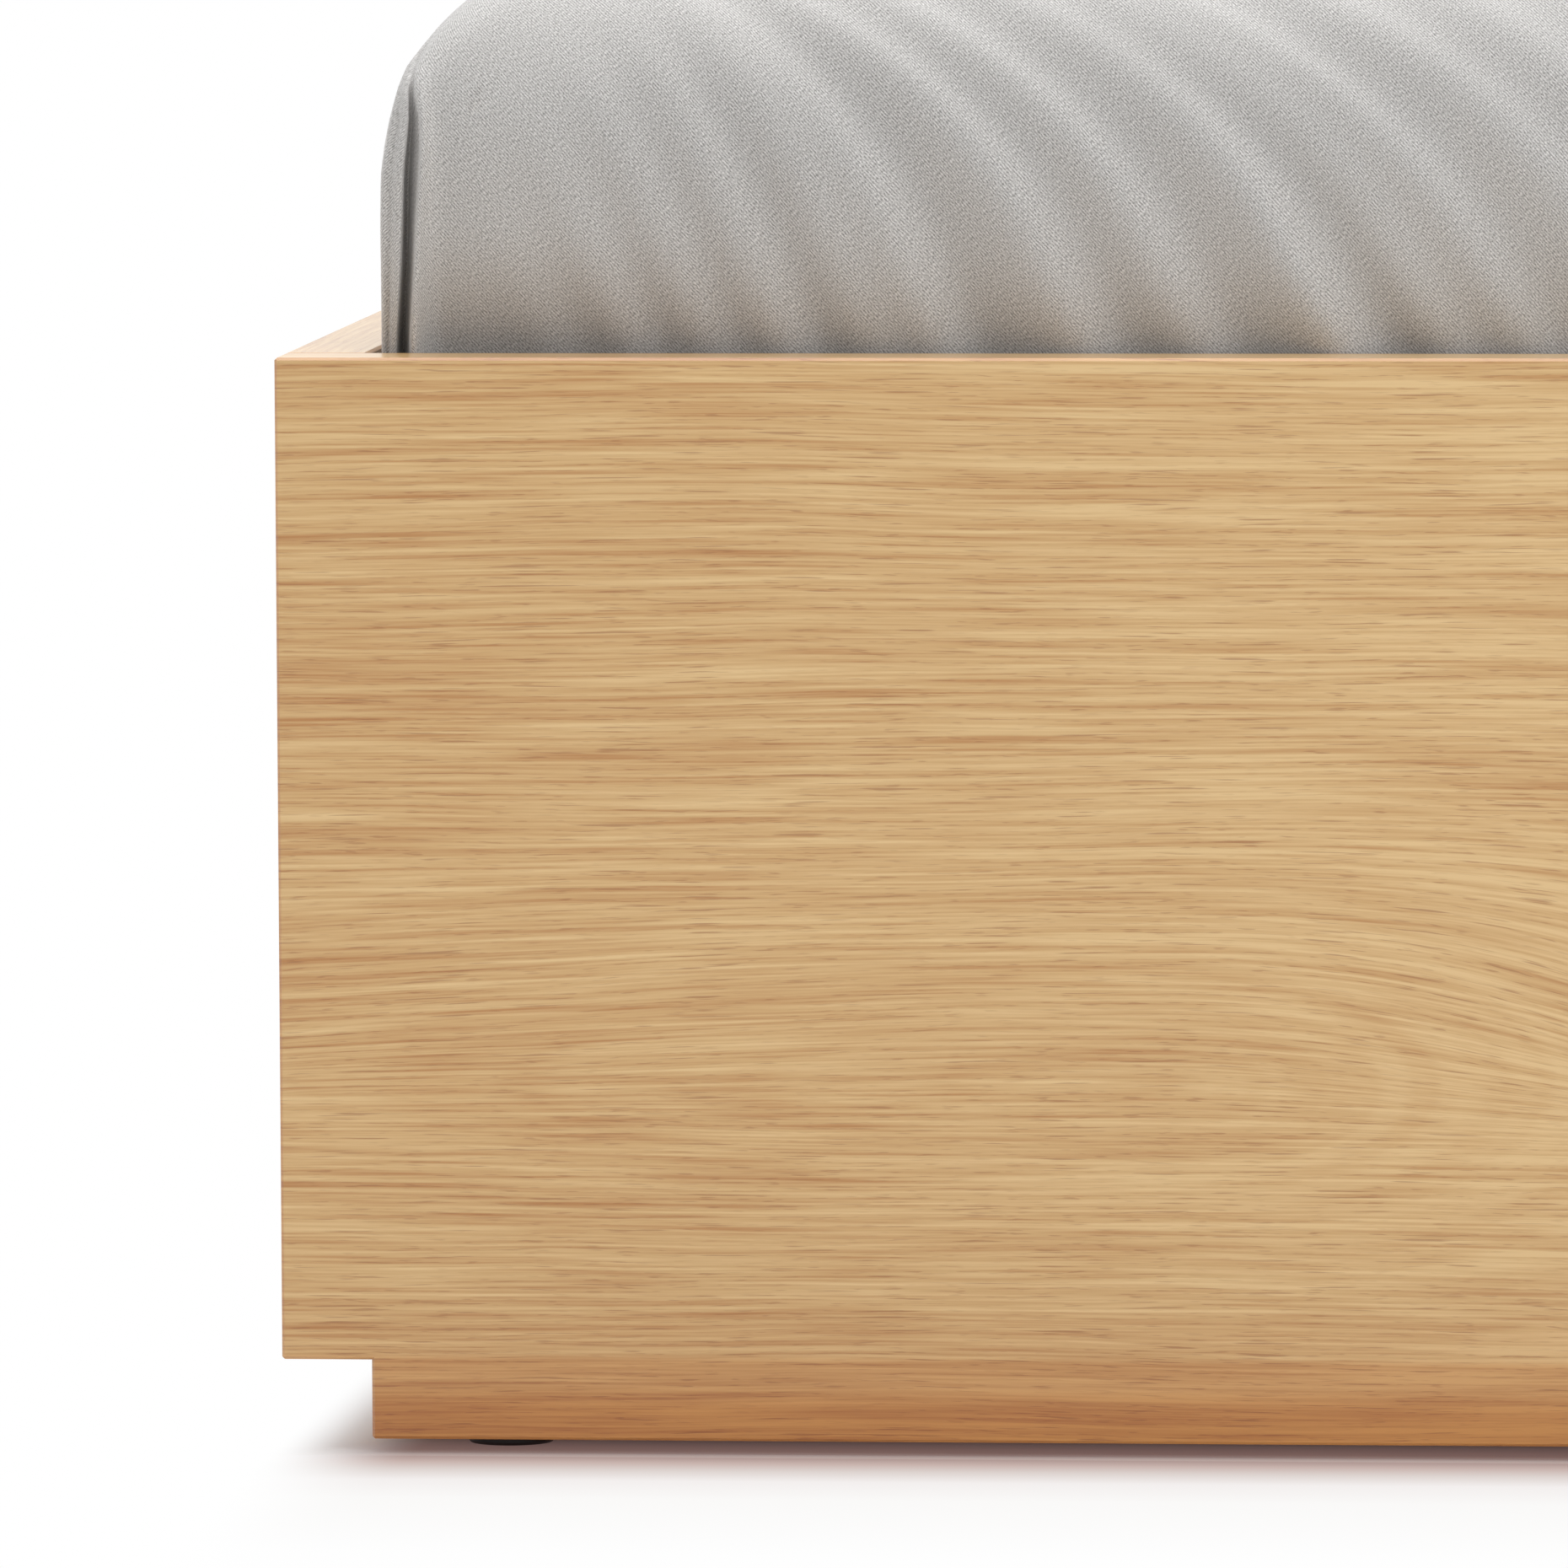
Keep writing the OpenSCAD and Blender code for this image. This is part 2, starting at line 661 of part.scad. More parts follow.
end(-1) end_board();  // foot_board
end(1) end_board();  // head_board
for (k = [0, 1]) side(2 * k - 1) {
    side_panel();
    plinth();
    post(-post_y, -glide_y);
    post(0, 0);
    post(post_y, glide_y);
    slat_rail();
    slat_strap();
    glide(glide_x, -glide_y);
    glide(glide_x, 0);
    glide(glide_x, glide_y);
}
centre_beam();
end(-1) beam_hanger();  // foot_beam_hanger
end(1) beam_hanger();  // head_beam_hanger
for (i = [0:leg_n - 1]) {
    centre_leg(leg_ys[i]);
    glide(0, leg_ys[i]);
}
for (i = [0:slat_n - 1]) slat(i);
glide_inserts();
panel_bolts();
panel_inserts();
corner_dowels();
rail_screws();
hanger_screws();
leg_bolts();
strap_tacks();
slat_screws();
plinth_screws();
mattress_core();
comfort_layer();
mattress_cover();
mattress_base();
fitted_sheet();
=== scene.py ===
# Platform bed: an oak-veneered box frame, a slatted base and a mattress in a satin fitted sheet.
# Metres. X runs across the bed, Y along it with the foot end at -Y, and Z up from the floor.
import math
from functools import partial

import bmesh
import bpy
import numpy as np
from mathutils import Matrix, Vector, noise


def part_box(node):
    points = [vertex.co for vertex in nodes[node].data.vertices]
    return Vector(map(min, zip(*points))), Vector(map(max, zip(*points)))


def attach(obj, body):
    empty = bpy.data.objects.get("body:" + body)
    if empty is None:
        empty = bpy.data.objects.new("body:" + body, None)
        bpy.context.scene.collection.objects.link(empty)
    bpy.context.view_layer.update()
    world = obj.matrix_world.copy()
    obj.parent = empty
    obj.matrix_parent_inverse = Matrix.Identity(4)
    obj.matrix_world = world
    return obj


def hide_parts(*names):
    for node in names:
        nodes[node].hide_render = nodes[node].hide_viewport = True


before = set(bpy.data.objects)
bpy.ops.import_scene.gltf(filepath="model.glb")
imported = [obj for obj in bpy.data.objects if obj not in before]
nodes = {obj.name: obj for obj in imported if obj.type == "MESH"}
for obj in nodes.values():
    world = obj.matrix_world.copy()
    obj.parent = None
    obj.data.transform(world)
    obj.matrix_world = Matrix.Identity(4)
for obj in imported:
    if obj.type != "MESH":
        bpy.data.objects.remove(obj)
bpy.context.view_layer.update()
print("frame loaded:", len(nodes), "nodes")


def linearColour(text):
    # sRGB hex to the linear colour that shaders take
    parts = [int(text[i : i + 2], 16) / 255 for i in (1, 3, 5)]
    return (*[c / 12.92 if c <= 0.04045 else ((c + 0.055) / 1.055) ** 2.4 for c in parts], 1.0)


nodeMode = {"Math": "operation", "VectorMath": "operation", "MapRange": "interpolation_type", "Mix": "data_type"}


def addNode(tree, kind, settings=None, inputs=()):
    # settings: the node's mode, or several by name. inputs: in the sockets' order, or by number or name, and
    # each is a value, a socket, or a node, which gives its first output
    node = tree.nodes.new("ShaderNode" + kind)
    if isinstance(settings, str):
        settings = {nodeMode[kind]: settings}
    for name, value in (settings or {}).items():
        setattr(node, name, value)
    for name, value in inputs.items() if isinstance(inputs, dict) else enumerate(inputs):
        if isinstance(value, bpy.types.Node):
            value = value.outputs[0]
        if isinstance(value, bpy.types.NodeSocket):
            tree.links.new(value, node.inputs[name])
        else:
            node.inputs[name].default_value = value
    return node


def startMaterial(name):
    material = bpy.data.materials.new(name)
    material.use_nodes = True
    material.node_tree.nodes.clear()
    return material, partial(addNode, material.node_tree)


def finishMaterial(material, inputs):
    shader = addNode(material.node_tree, "BsdfPrincipled", None, inputs)
    addNode(material.node_tree, "OutputMaterial", None, {"Surface": shader})
    return material


def dress(names, material):
    for name in names:
        nodes[name].data.materials.clear()
        nodes[name].data.materials.append(material)


# Wood. Rings, streaks and pores are sizes in metres: across the grain, and along it.
oakVeneer = {
    "dark": "#B67F45", "middle": "#CEA66E", "light": "#E1C08A", "pore": "#93592A",
    "ring": (0.0085, 0.60), "streak": (0.0024, 0.15), "fine": (0.0009, 0.050), "pores": (0.0007, 0.011),
    "ringShare": 0.22, "streakShare": 0.50, "fineShare": 0.38, "lineShare": 0.53, "poreShare": 0.44,
    "wander": 0.005, "roughness": 0.42, "lacquer": 0.7,
}
pineWood = {
    "dark": "#BF8F55", "middle": "#DDBE8C", "light": "#EBD3A6", "pore": "#B58A55",
    "ring": (0.0060, 1.5), "streak": (0.0022, 0.30), "fine": (0.0008, 0.08), "pores": (0.0011, 0.030),
    "ringShare": 1.0, "streakShare": 0.35, "fineShare": 0.2, "lineShare": 0.1, "poreShare": 0.12,
    "wander": 0.010, "roughness": 0.55, "lacquer": 0.0,
}
birchWood = {
    "dark": "#D3B98C", "middle": "#E4D0A9", "light": "#EFE0C1", "pore": "#C4A877",
    "ring": (0.0090, 1.1), "streak": (0.0024, 0.12), "fine": (0.0009, 0.03), "pores": (0.0009, 0.012),
    "ringShare": 0.6, "streakShare": 0.35, "fineShare": 0.3, "lineShare": 0.1, "poreShare": 0.25,
    "wander": 0.010, "roughness": 0.5, "lacquer": 0.0,
}
# How every board's figure runs: growth rings round an eye, where the cut comes nearest the heart.
# Ranges are (from, to, share at the start, share at the end).
figure = {
    "slowWaves": (2.6, 6.0), "quickWaves": (9.0, 30.0), "quickWander": 0.0010,  # waves per metre, along and across
    "deepest": 0.15,  # the cut gets no further from the heart
    "ringDrift": 5.0,
    "archSize": 0.17, "archBelow": (-0.028, 0.012, 0.0, 1.0), "archAbove": (0.015, 0.110, 1.0, 0.0),
    "contrast": 2.6, "darkAt": 0.08, "lightAt": 0.92,
    "heart": (0.002, 0.010, 0.16, 0.0),
    "ovalRing": 0.022, "oval": (0.0, 0.006, 0.12, 0.0), "ovalPatches": (0.3, 0.6, 0.0, 1.0),
    "lineSize": (0.42, 0.22),  # of a streak's
    "lines": (0.39, 0.30), "pits": (0.60, 0.70), "earlyWood": (0.55, 0.40, 0.35, 1.0),
    "paleRun": (-0.80, -0.35),
    # painted shade: this tint is multiplied in along the rounded arrises and in steps towards the floor
    "shadeTint": "#E2B882", "arrisShade": 0.60,
    "floorShade": [(0.060, 0.040, 0.20), (0.0385, 0.0335, 0.66), (0.043, 0.014, 1.0)],  # from height, to height, share
    "glossSwing": 0.16, "streakRelief": 0.4, "bump": {"Strength": 0.35, "Distance": 0.0002},
    "coatRoughness": 0.22,
}


def makeWood(name, wood, axes, eye, reach=(0.15, 0.42), seed=0.0, foot=0.0, pale=0.0):
    # axes: along the grain, across it on the wide face, through the thickness
    # eye: its place along and across. reach: how fast the cut leaves the heart on the eye's two sides
    # foot, pale: strength of the painted shade on a strip near the floor, and of a paler middle of the bed
    material, add = startMaterial(name)
    f = figure

    def cells(sizes, across, third, detail=2.0):
        # noise drawn out along the grain: sizes across and along
        place = add("CombineXYZ", None, (
            add("Math", "DIVIDE", (along, sizes[1])), add("Math", "DIVIDE", (across, sizes[0])), third))
        return add("TexNoise", None, {"Vector": place, "Scale": 1.0, "Detail": detail, "Roughness": 0.5})

    at = add("TexCoord")
    place = add("SeparateXYZ", None, (at.outputs["Object"],))
    facing = add("SeparateXYZ", None, (at.outputs["Normal"],))
    # faces cut across the grain, narrow faces along it, and wide ones
    atEnd, onEdge, onWide = (
        add("Math", "GREATER_THAN", (add("Math", "ABSOLUTE", (facing.outputs[axis],)), 0.8)) for axis in axes)
    along = add("Mix", None, {0: atEnd, 2: place.outputs[axes[0]], 3: place.outputs[axes[1]]})
    cross = add("Mix", None, {0: onEdge, 2: place.outputs[axes[1]], 3: place.outputs[axes[2]]})
    cross = add("Mix", None, {0: atEnd, 2: cross, 3: place.outputs[axes[2]]})

    # slow and quick wander of the fibres
    waves, drift = [], 0.0
    for rates, most in ((f["slowWaves"], wood["wander"]), (f["quickWaves"], f["quickWander"])):
        wave = add("CombineXYZ", None, (
            add("Math", "MULTIPLY", (along, rates[0])), add("Math", "MULTIPLY", (cross, rates[1])), seed))
        waves.append(add("TexNoise", None, {"Vector": wave, "Scale": 1.0, "Detail": 1.0}))
        swing = add("Math", "MULTIPLY", (add("Math", "SUBTRACT", (waves[-1], 0.5)), 2 * most))
        drift = add("Math", "ADD", (swing, drift))

    # distance from the heart, across the rings
    aside = add("Math", "SUBTRACT", (along, eye[0]))
    before = add("Math", "MULTIPLY", (add("Math", "MINIMUM", (aside, 0.0)), -reach[0]))
    past = add("Math", "MULTIPLY", (add("Math", "MAXIMUM", (aside, 0.0)), reach[1]))
    depth = add("Math", "DIVIDE", (add("Math", "ADD", (before, past)), f["deepest"]))
    depth = add("Math", "MULTIPLY", (add("Math", "TANH", (depth,)), f["deepest"]))
    depth = add("Math", "MULTIPLY", (depth, depth))
    height = add("Math", "ADD", (add("Math", "SUBTRACT", (cross, eye[1])), drift))
    ringAt = add("Math", "ADD", (depth, add("Math", "MULTIPLY", (height, height))))
    ringAt = add("Math", "SQRT", (ringAt,))
    third = add("Math", "ADD", (add("Math", "MULTIPLY", (height, f["ringDrift"])), seed))

    # fibres arch over the eye, and run straight below it and higher up
    arch = add("Math", "DIVIDE", (depth, f["archSize"]))
    arch = add("Math", "MULTIPLY", (arch, add("MapRange", "SMOOTHSTEP", (height, *f["archBelow"]))))
    arch = add("Math", "MULTIPLY", (arch, add("MapRange", "SMOOTHSTEP", (height, *f["archAbove"]))))
    fibre = add("Math", "ADD", (height, arch))
    rings = cells(wood["ring"], ringAt, third)
    streaks = cells(wood["streak"], fibre, seed + 7.0)
    fine = cells(wood["fine"], fibre, seed + 3.0)
    pores = cells(wood["pores"], fibre, seed + 13.0, 1.0)
    tone = 0.5
    for part, share in ((rings, "ringShare"), (streaks, "streakShare"), (fine, "fineShare")):
        swing = add("Math", "MULTIPLY", (add("Math", "SUBTRACT", (part, 0.5)), f["contrast"] * wood[share]))
        tone = add("Math", "ADD", (swing, tone))
    # a dark heart, and a dark ring round it, stronger in places
    oval = add("Math", "ABSOLUTE", (add("Math", "SUBTRACT", (ringAt, f["ovalRing"])),))
    oval = add("MapRange", "SMOOTHSTEP", (oval, *f["oval"]))
    oval = add("Math", "MULTIPLY", (oval, add("MapRange", "SMOOTHSTEP", (waves[0], *f["ovalPatches"]))))
    heart = add("Math", "ADD", (add("MapRange", "SMOOTHSTEP", (ringAt, *f["heart"])), oval))
    tone = add("Math", "SUBTRACT", (tone, add("Math", "MULTIPLY", (heart, onWide))))
    if pale:
        tone = add("Math", "ADD", (tone, add("MapRange", "SMOOTHSTEP", (along, *f["paleRun"], 0.0, pale))))

    ramp = add("ValToRGB", None, (tone,))
    ends = ramp.color_ramp.elements
    ends[0].position, ends[0].color = f["darkAt"], linearColour(wood["dark"])
    ends[1].position, ends[1].color = f["lightAt"], linearColour(wood["light"])
    ends.new(0.5).color = linearColour(wood["middle"])
    lines = cells([size * share for size, share in zip(wood["streak"], f["lineSize"])], fibre, seed + 29.0)
    lines = add("MapRange", "SMOOTHSTEP", (lines, *f["lines"], 0.0, wood["lineShare"]))
    pits = add("MapRange", "SMOOTHSTEP", (pores, *f["pits"], 0.0, wood["poreShare"]))
    early = add("MapRange", "SMOOTHSTEP", (streaks, *f["earlyWood"]))  # pores gather in the darker early wood
    pits = add("Math", "MAXIMUM", (add("Math", "MULTIPLY", (pits, early)), lines))
    colour = add("Mix", "RGBA", {0: pits, 6: ramp, 7: linearColour(wood["pore"])}).outputs[2]

    # painted shade: rounded arrises are darkened, and the end boards darken in steps towards the floor
    flat = add("Math", "MAXIMUM", (atEnd, add("Math", "MAXIMUM", (onEdge, onWide))))
    # painted shade on the rounded arrises, where the edges catch less light
    paintedShade = add("Math", "MULTIPLY", (add("Math", "SUBTRACT", (1.0, flat)), f["arrisShade"]))
    for start, end, share in f["floorShade"] if foot else []:
        strip = add("MapRange", "SMOOTHSTEP", (place.outputs[2], start, end, 0.0, share * foot))
        paintedShade = add("Math", "MAXIMUM", (paintedShade, strip))
    paintedShade = {0: paintedShade, 6: colour, 7: linearColour(f["shadeTint"])}
    colour = add("Mix", {"data_type": "RGBA", "blend_type": "MULTIPLY"}, paintedShade).outputs[2]
    gloss = add("Math", "MULTIPLY", (streaks, f["glossSwing"]))
    gloss = add("Math", "ADD", (gloss, wood["roughness"] - f["glossSwing"] / 2))
    relief = add("Math", "SUBTRACT", (add("Math", "MULTIPLY", (streaks, f["streakRelief"])), pits))
    bump = add("Bump", None, {**f["bump"], "Height": relief})
    return finishMaterial(material, {
        "Base Color": colour, "Roughness": gloss, "Normal": bump,
        "Coat Weight": wood["lacquer"], "Coat Roughness": f["coatRoughness"]})


# Oak veneer, crown cut, under a satin clear lacquer: warm straw brown, with dark pore lines in the early wood
for label, names, axes, eye, more in (
    ("foot", ["foot_board"], (0, 2, 1), (-0.509, 0.137), {"seed": 0.0, "foot": 1.0, "pale": 0.18}),
    ("head", ["head_board"], (0, 2, 1), (0.330, 0.235), {"reach": (0.38, 0.18), "seed": 21.0, "foot": 1.0}),
    ("left", ["left_side_panel"], (1, 2, 0), (0.240, 0.160), {"reach": (0.16, 0.36), "seed": 43.0}),
    ("right", ["right_side_panel"], (1, 2, 0), (-0.410, 0.270), {"reach": (0.34, 0.18), "seed": 67.0}),
    ("plinth", ["left_plinth", "right_plinth"], (1, 2, 0), (0.3, -0.2), {"seed": 83.0}),
):
    dress(names, makeWood("oak_veneer_" + label, oakVeneer, axes, eye, **more))
# Planed pine, unfinished: yellow wood with orange late-wood lines
dress([n for n in nodes if n.endswith("_post") or n.startswith("centre_leg")],
      makeWood("pine_upright", pineWood, (2, 0, 1), (0.1, 0.02), seed=11.0))
dress(["left_slat_rail", "right_slat_rail", "centre_beam"],
      makeWood("pine_lengthwise", pineWood, (1, 2, 0), (0.4, 0.24), (0.05, 0.05), seed=15.0))
# Sanded birch: pale cream, close grain and hardly any figure. Each slat is cut from another place of its board
slatNames = sorted(n for n in nodes if n.startswith("slat_") and n[5:].isdigit())
for number, name in enumerate(slatNames):
    eye = (math.sin(number * 2.4) * 0.6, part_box(name)[0].y + 0.05 * math.cos(number))
    dress([name], makeWood("birch_" + name, birchWood, (0, 1, 2), eye, seed=100.0 + 7 * number))
dress(["corner_dowels"], makeWood("birch_dowel", birchWood, (1, 2, 0), (0.0, 0.2), seed=97.0))
print("wood finished")


def makeGrained(name, colour, roughness, grain, bumpDepth, metallic=0.0, spread=0.06):
    # a plain surface with fine grain: grain is its size in metres, and spread how much the gloss varies
    material, add = startMaterial(name)
    at = add("TexCoord").outputs["Object"]
    fine = add("TexNoise", None, {"Vector": at, "Scale": 1 / grain, "Detail": 2.0})
    broad = add("TexNoise", None, {"Vector": at, "Scale": 0.04 / grain, "Detail": 3.0})
    dull = add("MapRange", None, (broad, 0.3, 0.7, roughness - spread, roughness + spread))
    light = linearColour(colour)
    dark = (*[0.82 * c for c in light[:3]], 1.0)
    tint = add("Mix", "RGBA", {0: broad, 6: dark, 7: light}).outputs[2]
    bump = add("Bump", None, {"Strength": 0.5, "Distance": bumpDepth, "Height": fine})
    return finishMaterial(material, {"Base Color": tint, "Roughness": dull, "Normal": bump, "Metallic": metallic})


# Bright zinc plate on steel: pale blue-grey metal with cloudy gloss
zinc = makeGrained("zinc_plated_steel", "#C6C9CC", 0.34, 0.0006, 0.00002, metallic=1.0, spread=0.1)
dress(["glide_inserts", "panel_bolts", "panel_inserts", "rail_screws", "hanger_screws", "leg_bolts",
       "strap_tacks", "slat_screws", "plinth_screws"], zinc)
# Black powder coat on folded steel: fine orange peel of about 1 mm
dress(["foot_beam_hanger", "head_beam_hanger"], makeGrained("black_powder_coat", "#232222", 0.52, 0.0011, 0.00008))
# Moulded black nylon: soft sheen, faintly grained
dress([n for n in nodes if "_glide" in n], makeGrained("black_nylon", "#191818", 0.42, 0.0008, 0.00003))
print("metal and nylon finished")


# Cloth materials read the piece's own UV map, laid out flat in metres.
# Yarns are multiples of the pitch: the slubs' waves across the twill lines and along them.
weaveSet = {
    "waveUnit": 2 * math.pi / 20,  # a wave texture repeats in this at scale 1
    "slubs": (1.9, 0.85), "slubShare": 0.84, "spread": (0.34, 0.66), "cloudWaves": 9.0, "cloud": 0.03,
}


def makeCloth(name, colour, low, pitch, turn, depth, finish):
    # colour on the yarns and low between them; pitch, turn and depth of the lines
    material, add = startMaterial(name)
    c = weaveSet
    at = add("TexCoord").outputs["UV"]
    turned = add("Mapping", None, {"Vector": at, "Rotation": (0, 0, math.radians(turn))})
    lines = {"Vector": turned, "Scale": c["waveUnit"] / pitch, "Distortion": 0.6, "Detail": 1.0, "Detail Scale": 2.0}
    twill = add("TexWave", None, lines).outputs["Fac"]
    drawn = add("Mapping", None, {"Vector": turned, "Scale": (*[waves / pitch for waves in c["slubs"]], 1)})
    yarn = add("TexNoise", None, {"Vector": drawn, "Scale": 1.0, "Detail": 2.0, "Roughness": 0.75})
    cloud = add("TexNoise", None, {"Vector": at, "Scale": c["cloudWaves"], "Detail": 3.0})
    weave = add("Mix", None, {0: c["slubShare"], 2: twill, 3: yarn})
    shade = add("MapRange", None, (weave, *c["spread"], 1.0, 0.0))
    tint = add("Mix", "RGBA", {0: shade, 6: linearColour(colour), 7: linearColour(low)}).outputs[2]
    cloudy = add("MapRange", None, (cloud, 0.3, 0.7, 1 - c["cloud"], 1 + c["cloud"]))
    tint = add("VectorMath", "SCALE", {0: tint, "Scale": cloudy})
    bump = add("Bump", None, {"Strength": 0.5, "Distance": depth, "Height": weave})
    return finishMaterial(material, {"Base Color": tint, "Normal": bump, **finish})


# Cotton satin, piece dyed light grey: a soft sheen, and fine twill lines 0.95 mm apart
satin = makeCloth("cotton_satin", "#E0DEDC", "#82807E", 0.00095, -42, 0.000018,
                  {"Sheen Weight": 0.4, "Sheen Roughness": 0.4, "Roughness": 0.54, "Specular IOR Level": 0.26})
# Woven polypropylene webbing: close ribs 2 mm apart
webbing = makeCloth("polypropylene_webbing", "#EDE9DF", "#C9C2B3", 0.002, 0, 0.0004, {"Roughness": 0.7})
# Stitch-bonded ticking: plain white knit
ticking = makeCloth("mattress_ticking", "#F0EEEA", "#DAD7D0", 0.0015, 90, 0.0002, {"Roughness": 0.85})
print("cloth finished")

# Fitted sheet
sheetCut = {
    "turn": 0.120,  # width under the mattress
    "gather": 0.0022, "gatherFrom": (0.02, 0.09), "gatherEdge": 0.03, "gatherWaves": (95, 1.4, 21),  # its ripples
    "baseRadius": 0.0115, "sideTop": 0.461, "rollRadius": 0.092,
    "crown": 0.004, "crownRun": 0.42, "crownPower": 1.25, "topFrom": (0.515, 0.038),
    "cornerRadius": 0.0115, "cornerSpread": 0.35, "mostCorner": 0.050,  # in plan, and how it opens inwards
    "rim": 0.400, "fineFrom": 0.388,  # height of the boards, from which the folds are measured, and of the close rows
    # drawn in behind the rim, less towards the middle of an end
    "tuck": 0.011, "tuckTop": 0.060, "tuckRun": 0.11, "tuckShare": 0.5, "tuckReach": 0.45, "tuckEdge": 0.05,
    "beside": [(0.0028, 0.500), (0.004, 0.445)], "besideRun": 0.05, "besideReach": 0.14,  # hollow beside the pleat
    "unevenness": [(0.0022, 3.0, 4.0), (0.0010, 9.0, 9.0)], "settle": 0.0008,  # depth, waves per metre and seed
}
# Plan of the open pleat in millimetres in from the side face and from the end face:
# the side's flap folds round the corner, over a valley, to the end face's ridge
pleatPlan = [
    (0, 16), (0, 9.5), (0.2, 6.0), (0.8, 4.2), (1.7, 3.4), (2.6, 3.6), (3.5, 3.5), (4.3, 2.4), (5.2, 1.1), (6.2, 0.6),
    (7.2, 1.2), (7.5, 4.5), (7.2, 9.5), (7.4, 15), (8.2, 17.0), (9.1, 13.8), (10.0, 10.4), (10.9, 7.6), (11.7, 5.2),
    (12.4, 2.9), (13.0, 0.7), (13.6, -1.4), (14.4, -2.7), (15.4, -2.2), (16.6, -0.5), (19.0, 0.5), (24, 0.4), (30, 0),
]
# By height in metres: how far in the flap's edge and the ridge lie, how much the ridge and the flap stand out of
# the round corner, all in millimetres, and the share of the valley's depth
pleatPlaces = [
    (0.315, 6.4, 12.4, 0, 0, 1), (0.405, 6.9, 12.5, 0, -0.6, 1.15), (0.430, 8.6, 13.9, 0, -0.8, 0.98),
    (0.447, 9.3, 14.7, 0, -0.8, 0.85), (0.464, 9.8, 16.0, 0.5, -1.3, 0.72), (0.475, 9.8, 15.5, 1.0, -2.3, 0.60),
    (0.484, 8.8, 13.2, 1.8, -1.3, 0.40), (0.490, 6.6, 10.4, 2.2, -0.5, 0.27), (0.497, 3.4, 6.2, 2.0, 1.4, 0.13),
    (0.503, 1.2, 3.2, 1.0, 1.9, 0.03), (0.509, 1.0, 2.6, 0.4, 1.1, 0), (0.514, 0.8, 2.2, 0.2, 0.6, 0),
    (0.524, 0.8, 2.0, 0, 0.2, 0), (0.530, 0.8, 2.0, 0, 0, 0),
]
# Millimetres, apart from heights in metres and keys, which are places in the plan's list
pleatCut = {
    "steps": 50, "flapColumn": 25,  # columns of a corner, and the last that belongs to the side's cloth
    "sideReach": 16, "endReach": 30,
    "flapKey": 9.5, "ridgeKey": 20.5, "pastRidge": (3, 5),  # a key and a place further on
    "flapHill": (5.5, 4.0), "ridgeHill": (21.8, 1.5), "hollowHill": (14.5, 2.8), "hillEnds": 3,  # key and width
    "hollow": 17.5, "hollowFrom": (0.44, 0.02),
    "shutKeys": (9, 20), "shutFrom": (6.7, 0.55), "shutTo": (13.0, 0.2),  # the plan with its valley shut
    "flapEdge": 7.5, "flapLength": 16, "ridgeAt": 13.6,
    "lowDip": 3.0, "lowFrom": (0.445, 0.045), "lowEdge": 1.5, "lowLength": (12, 6),
    "tuckFrom": 1.5, "tuckRun": 7,
    "top": (0.507, 0.022), "start": 0.026,
}

sheetLow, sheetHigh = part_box("fitted_sheet")
halfWidth, halfLength = sheetHigh.x, sheetHigh.y
underZ = sheetLow.z
sideStart = underZ + sheetCut["baseRadius"]


def smooth(value):
    value = np.clip(value, 0, 1)
    return value * value * (3 - 2 * value)


def alongLine(points, shares):
    # points at these shares of a line's length
    points = np.asarray(points, float)
    steps = np.r_[0, np.cumsum(np.linalg.norm(np.diff(points, axis=0), axis=1))]
    return np.stack([np.interp(shares * steps[-1], steps, points[:, k]) for k in (0, 1)], 1)


def curveThrough(points, count):
    # smooth curve through the points, evenly spread over them
    points = np.asarray(points, float)
    padded = np.vstack([2 * points[0] - points[1], points, 2 * points[-1] - points[-2]])
    place = np.linspace(0, len(points) - 1, count)
    first = np.minimum(place.astype(int), len(points) - 2)
    t = (place - first)[:, None]
    p0, p1, p2, p3 = (padded[first + k] for k in range(4))
    square = 2 * p0 - 5 * p1 + 4 * p2 - p3
    cube = 3 * p1 - p0 - 3 * p2 + p3
    return 0.5 * (2 * p1 + (p2 - p0) * t + square * t**2 + cube * t**3)


def profile():
    # rows of [inset, height, upward share of the normal, length of cloth above the rim]
    c = sheetCut
    base, roll = c["baseRadius"], c["rollRadius"]
    rows = [(inset, underZ, -1.0) for inset in np.linspace(c["turn"], base, 9)[:-1]]
    rows += [(base * (1 - math.cos(a)), sideStart + base * math.sin(a), math.sin(a))
             for a in np.radians(np.linspace(-90, 0, 5))[:-1]]
    firstOnSide = len(rows)
    rows += [(0, z, 0.0) for z in np.linspace(sideStart, c["fineFrom"], 7)[:-1]]
    rows += [(0, z, 0.0) for z in np.linspace(c["fineFrom"], c["sideTop"], 20)[:-1]]
    rows += [(roll * (1 - math.cos(a)), c["sideTop"] + roll * math.sin(a), math.sin(a))
             for a in np.radians(np.linspace(0, 90, 37))]
    rows += [(roll + c["crownRun"] * f ** c["crownPower"], c["sideTop"] + roll, 1.0)
             for f in np.linspace(0, 1, 18)[1:]]
    rows = np.array(rows)
    length = np.r_[0, np.cumsum(np.hypot(np.diff(rows[:, 0]), np.diff(rows[:, 1])))]
    side = slice(firstOnSide, firstOnSide + 30)  # heights rise steadily here
    length -= np.interp(c["rim"], rows[side, 1], length[side])
    return np.column_stack([rows, length])


def shutPlan():
    # the pleat's plan with the valley drawn shut
    c = pleatCut
    (startX, startY), (endX, endY) = c["shutFrom"], c["shutTo"]
    low, high = c["shutKeys"]
    return [(x, np.interp(x, (startX, endX), (startY, endY)) if low < key < high else y)
            for key, (x, y) in enumerate(pleatPlan)]


pleatOpen = curveThrough(pleatPlan, pleatCut["steps"])
pleatShut = curveThrough(shutPlan(), pleatCut["steps"])


